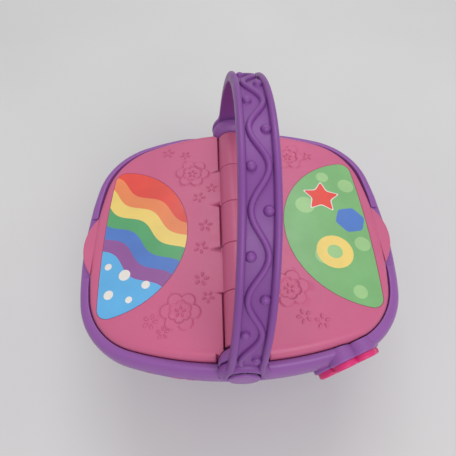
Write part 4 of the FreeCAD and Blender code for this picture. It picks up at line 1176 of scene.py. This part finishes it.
def corners(cx, cy, radii, count, turn):
    """Corners about a middle, their radii taken in turn."""
    rows = []
    for i in range(count):
        a = math.radians(turn + 360.0 * i / count)
        r = radii[i % len(radii)]
        rows.append((cx + r * math.cos(a), cy + r * math.sin(a)))
    return rows


def disc_shape(cx, cy, r):
    return np.array(corners(cx, cy, (r,), 40, 0.0))


def band(low, high):
    """Wavy stripe across the left label, given by its distance along the slope."""
    rows = []
    along = np.linspace(-90.0, 90.0, 90)
    c, s = math.cos(BAND_TURN), math.sin(BAND_TURN)
    for edge, way in ((low, along), (high, along[::-1])):
        for t in way:
            d = edge + BAND_SWING * math.sin(2 * math.pi * t / BAND_LENGTH + BAND_PHASE)
            rows.append((BAND_MID + t * c - d * s, LABEL_MID + t * s + d * c))
    return np.array(rows)


def build_label(sign, shapes):
    """Film in the label seat: each shape is a ring of plan points and the ink inside it."""
    rim = label_ring(FILM_GAP)
    sheet = Plan(rim)
    for ring, _ in shapes:
        sheet.curve(ring)
    grid = grid_points(34.0, 101.0, -68.0, 64.0, 4.0)
    sheet.points += flat(grid[in_polygon(grid, label_ring(1.5))])
    plan, faces, _ = sheet.triangles()
    centres = np.array([plan[list(f)].mean(0) for f in faces])
    inside = in_polygon(centres, rim)
    faces = [f for f, keep in zip(faces, inside) if keep]
    centres = centres[inside]
    ink_of = np.zeros(len(faces), int)
    for ring, ink in shapes:
        ink_of[in_polygon(centres, ring)] = ink
    build = Build()
    z = crown(plan[:, 0])
    top = build.add(lifted(plan, z - FILM_TOP, sign))
    for f, ink in zip(faces, ink_of):
        build.face((top + i for i in f), int(ink))
    under = build.add(lifted(plan, z - FILM_UNDER, sign), [f[::-1] for f in faces])
    sides = {}
    for f in faces:
        for a, b in zip(f, f[1:] + f[:1]):
            sides[(a, b)] = sides.pop((b, a), None) is None
    for a, b in [pair for pair, single in sides.items() if single]:
        build.face((top + b, top + a, under + a, under + b))
    return build


LEFT_INKS = [inks[name] for name in "sky red orange yellow green blue purple white".split()]
LEFT_DOTS = ((80, -34, 4.2), (64, -43, 3.0), (90, -48, 3.4), (75, -53, 2.4), (93, -26, 2.6))
left_shapes = [(band(BAND_TOP - BAND * n, BAND_TOP - BAND * (n - 1)), n) for n in range(1, 7)]
left_shapes.append((band(BAND_TOP, 90.0), 1))
left_shapes += [(disc_shape(*dot), 7) for dot in LEFT_DOTS]
left_film = build_label(-1.0, left_shapes)
make("label_left", left_film, "left_lid", LEFT_INKS, ["left_label"])

RIGHT_INKS = [inks[name] for name in "leaf pale white red blue yellow".split()]
RIGHT_DOTS = (
    (54, 18, 7.5),
    (90, 38, 6.5),
    (62, -26, 7.0),
    (92, -16, 6.0),
    (82, -54, 5.0),
    (72, 46, 5.0),
)
right_shapes = [(disc_shape(*dot), 1) for dot in RIGHT_DOTS]
right_shapes += [
    (soften(corners(68, 26, (15.6, 8.0), 10, 84.0), 0.22), 2),
    (soften(corners(68, 26, (14.4, 7.2), 10, 84.0), 0.22), 3),
    (soften(corners(87, 5, (12.0,), 6, 10.0), 0.2), 4),
    (disc_shape(70, -23, 13.4), 5),
    (disc_shape(70, -23, 5.6), 1),
]
right_film = build_label(1.0, right_shapes)
make("label_right", right_film, "right_lid", RIGHT_INKS, ["right_label"])

# Camera at the photo's view

PIXELS = 456.0
FOCAL = 394.86
SENSOR = 36.0
ELEVATION = math.radians(57.179)
AZIMUTH = math.radians(-0.051)
ROLL = math.radians(-2.528)
PLACE = (-5.7, -159.234, 362.706)

level = np.array([math.sin(AZIMUTH), math.cos(AZIMUTH), 0.0])
fwd = level * math.cos(ELEVATION) - [0.0, 0.0, math.sin(ELEVATION)]
flat_right = np.array([math.cos(AZIMUTH), -math.sin(AZIMUTH), 0.0])
flat_up = np.cross(flat_right, fwd)
right = math.cos(ROLL) * flat_right + math.sin(ROLL) * flat_up
up = math.cos(ROLL) * flat_up - math.sin(ROLL) * flat_right
lens = bpy.data.cameras.new("camera")
lens.sensor_width = SENSOR
lens.lens = FOCAL / PIXELS * SENSOR
lens.clip_start = 0.01
lens.clip_end = 20.0
camera = put("camera", lens)
camera.matrix_world = frame_matrix([c * MM for c in PLACE], right, up, -fwd)
scene.camera = camera

# Floor, light and world

LAMP_AIM = Vector((0, 0, 0.05))

floor_mesh = bpy.data.meshes.new("floor")
floor_mesh.from_pydata([(-3, -3, 0), (3, -3, 0), (3, 3, 0), (-3, 3, 0)], [], [(0, 1, 2, 3)])
floor = put("floor", floor_mesh)
paper = Nodes("floor_paper")
paper_tone = paper.mix(paper.ramp(paper.noise(3.0, 3.0)), srgb(203, 202, 203), srgb(209, 208, 208))
paper.link(paper_tone, paper.shader.inputs["Base Color"])
paper.shader.inputs["Roughness"].default_value = 0.9
floor_mesh.materials.append(paper.material)


def lamp(name, place, size, power):
    data = bpy.data.lights.new(name, "AREA")
    data.shape = "RECTANGLE"
    data.size, data.size_y = size
    data.energy = power
    obj = put(name, data)
    obj.location = place
    obj.rotation_euler = (LAMP_AIM - Vector(place)).to_track_quat("-Z", "Y").to_euler()


lamp("key", (0.1, 0.9, 1.6), (1.2, 0.6), 9.0)
lamp("front", (0.5, -1.4, 1.6), (1.8, 1.4), 21.0)
world = bpy.data.worlds.new("world")
world.use_nodes = True
sky = world.node_tree.nodes["Background"]
sky.inputs["Color"].default_value = (1.0, 1.0, 1.0, 1.0)
sky.inputs["Strength"].default_value = 0.57
scene.world = world
scene.view_settings.view_transform = "Standard"
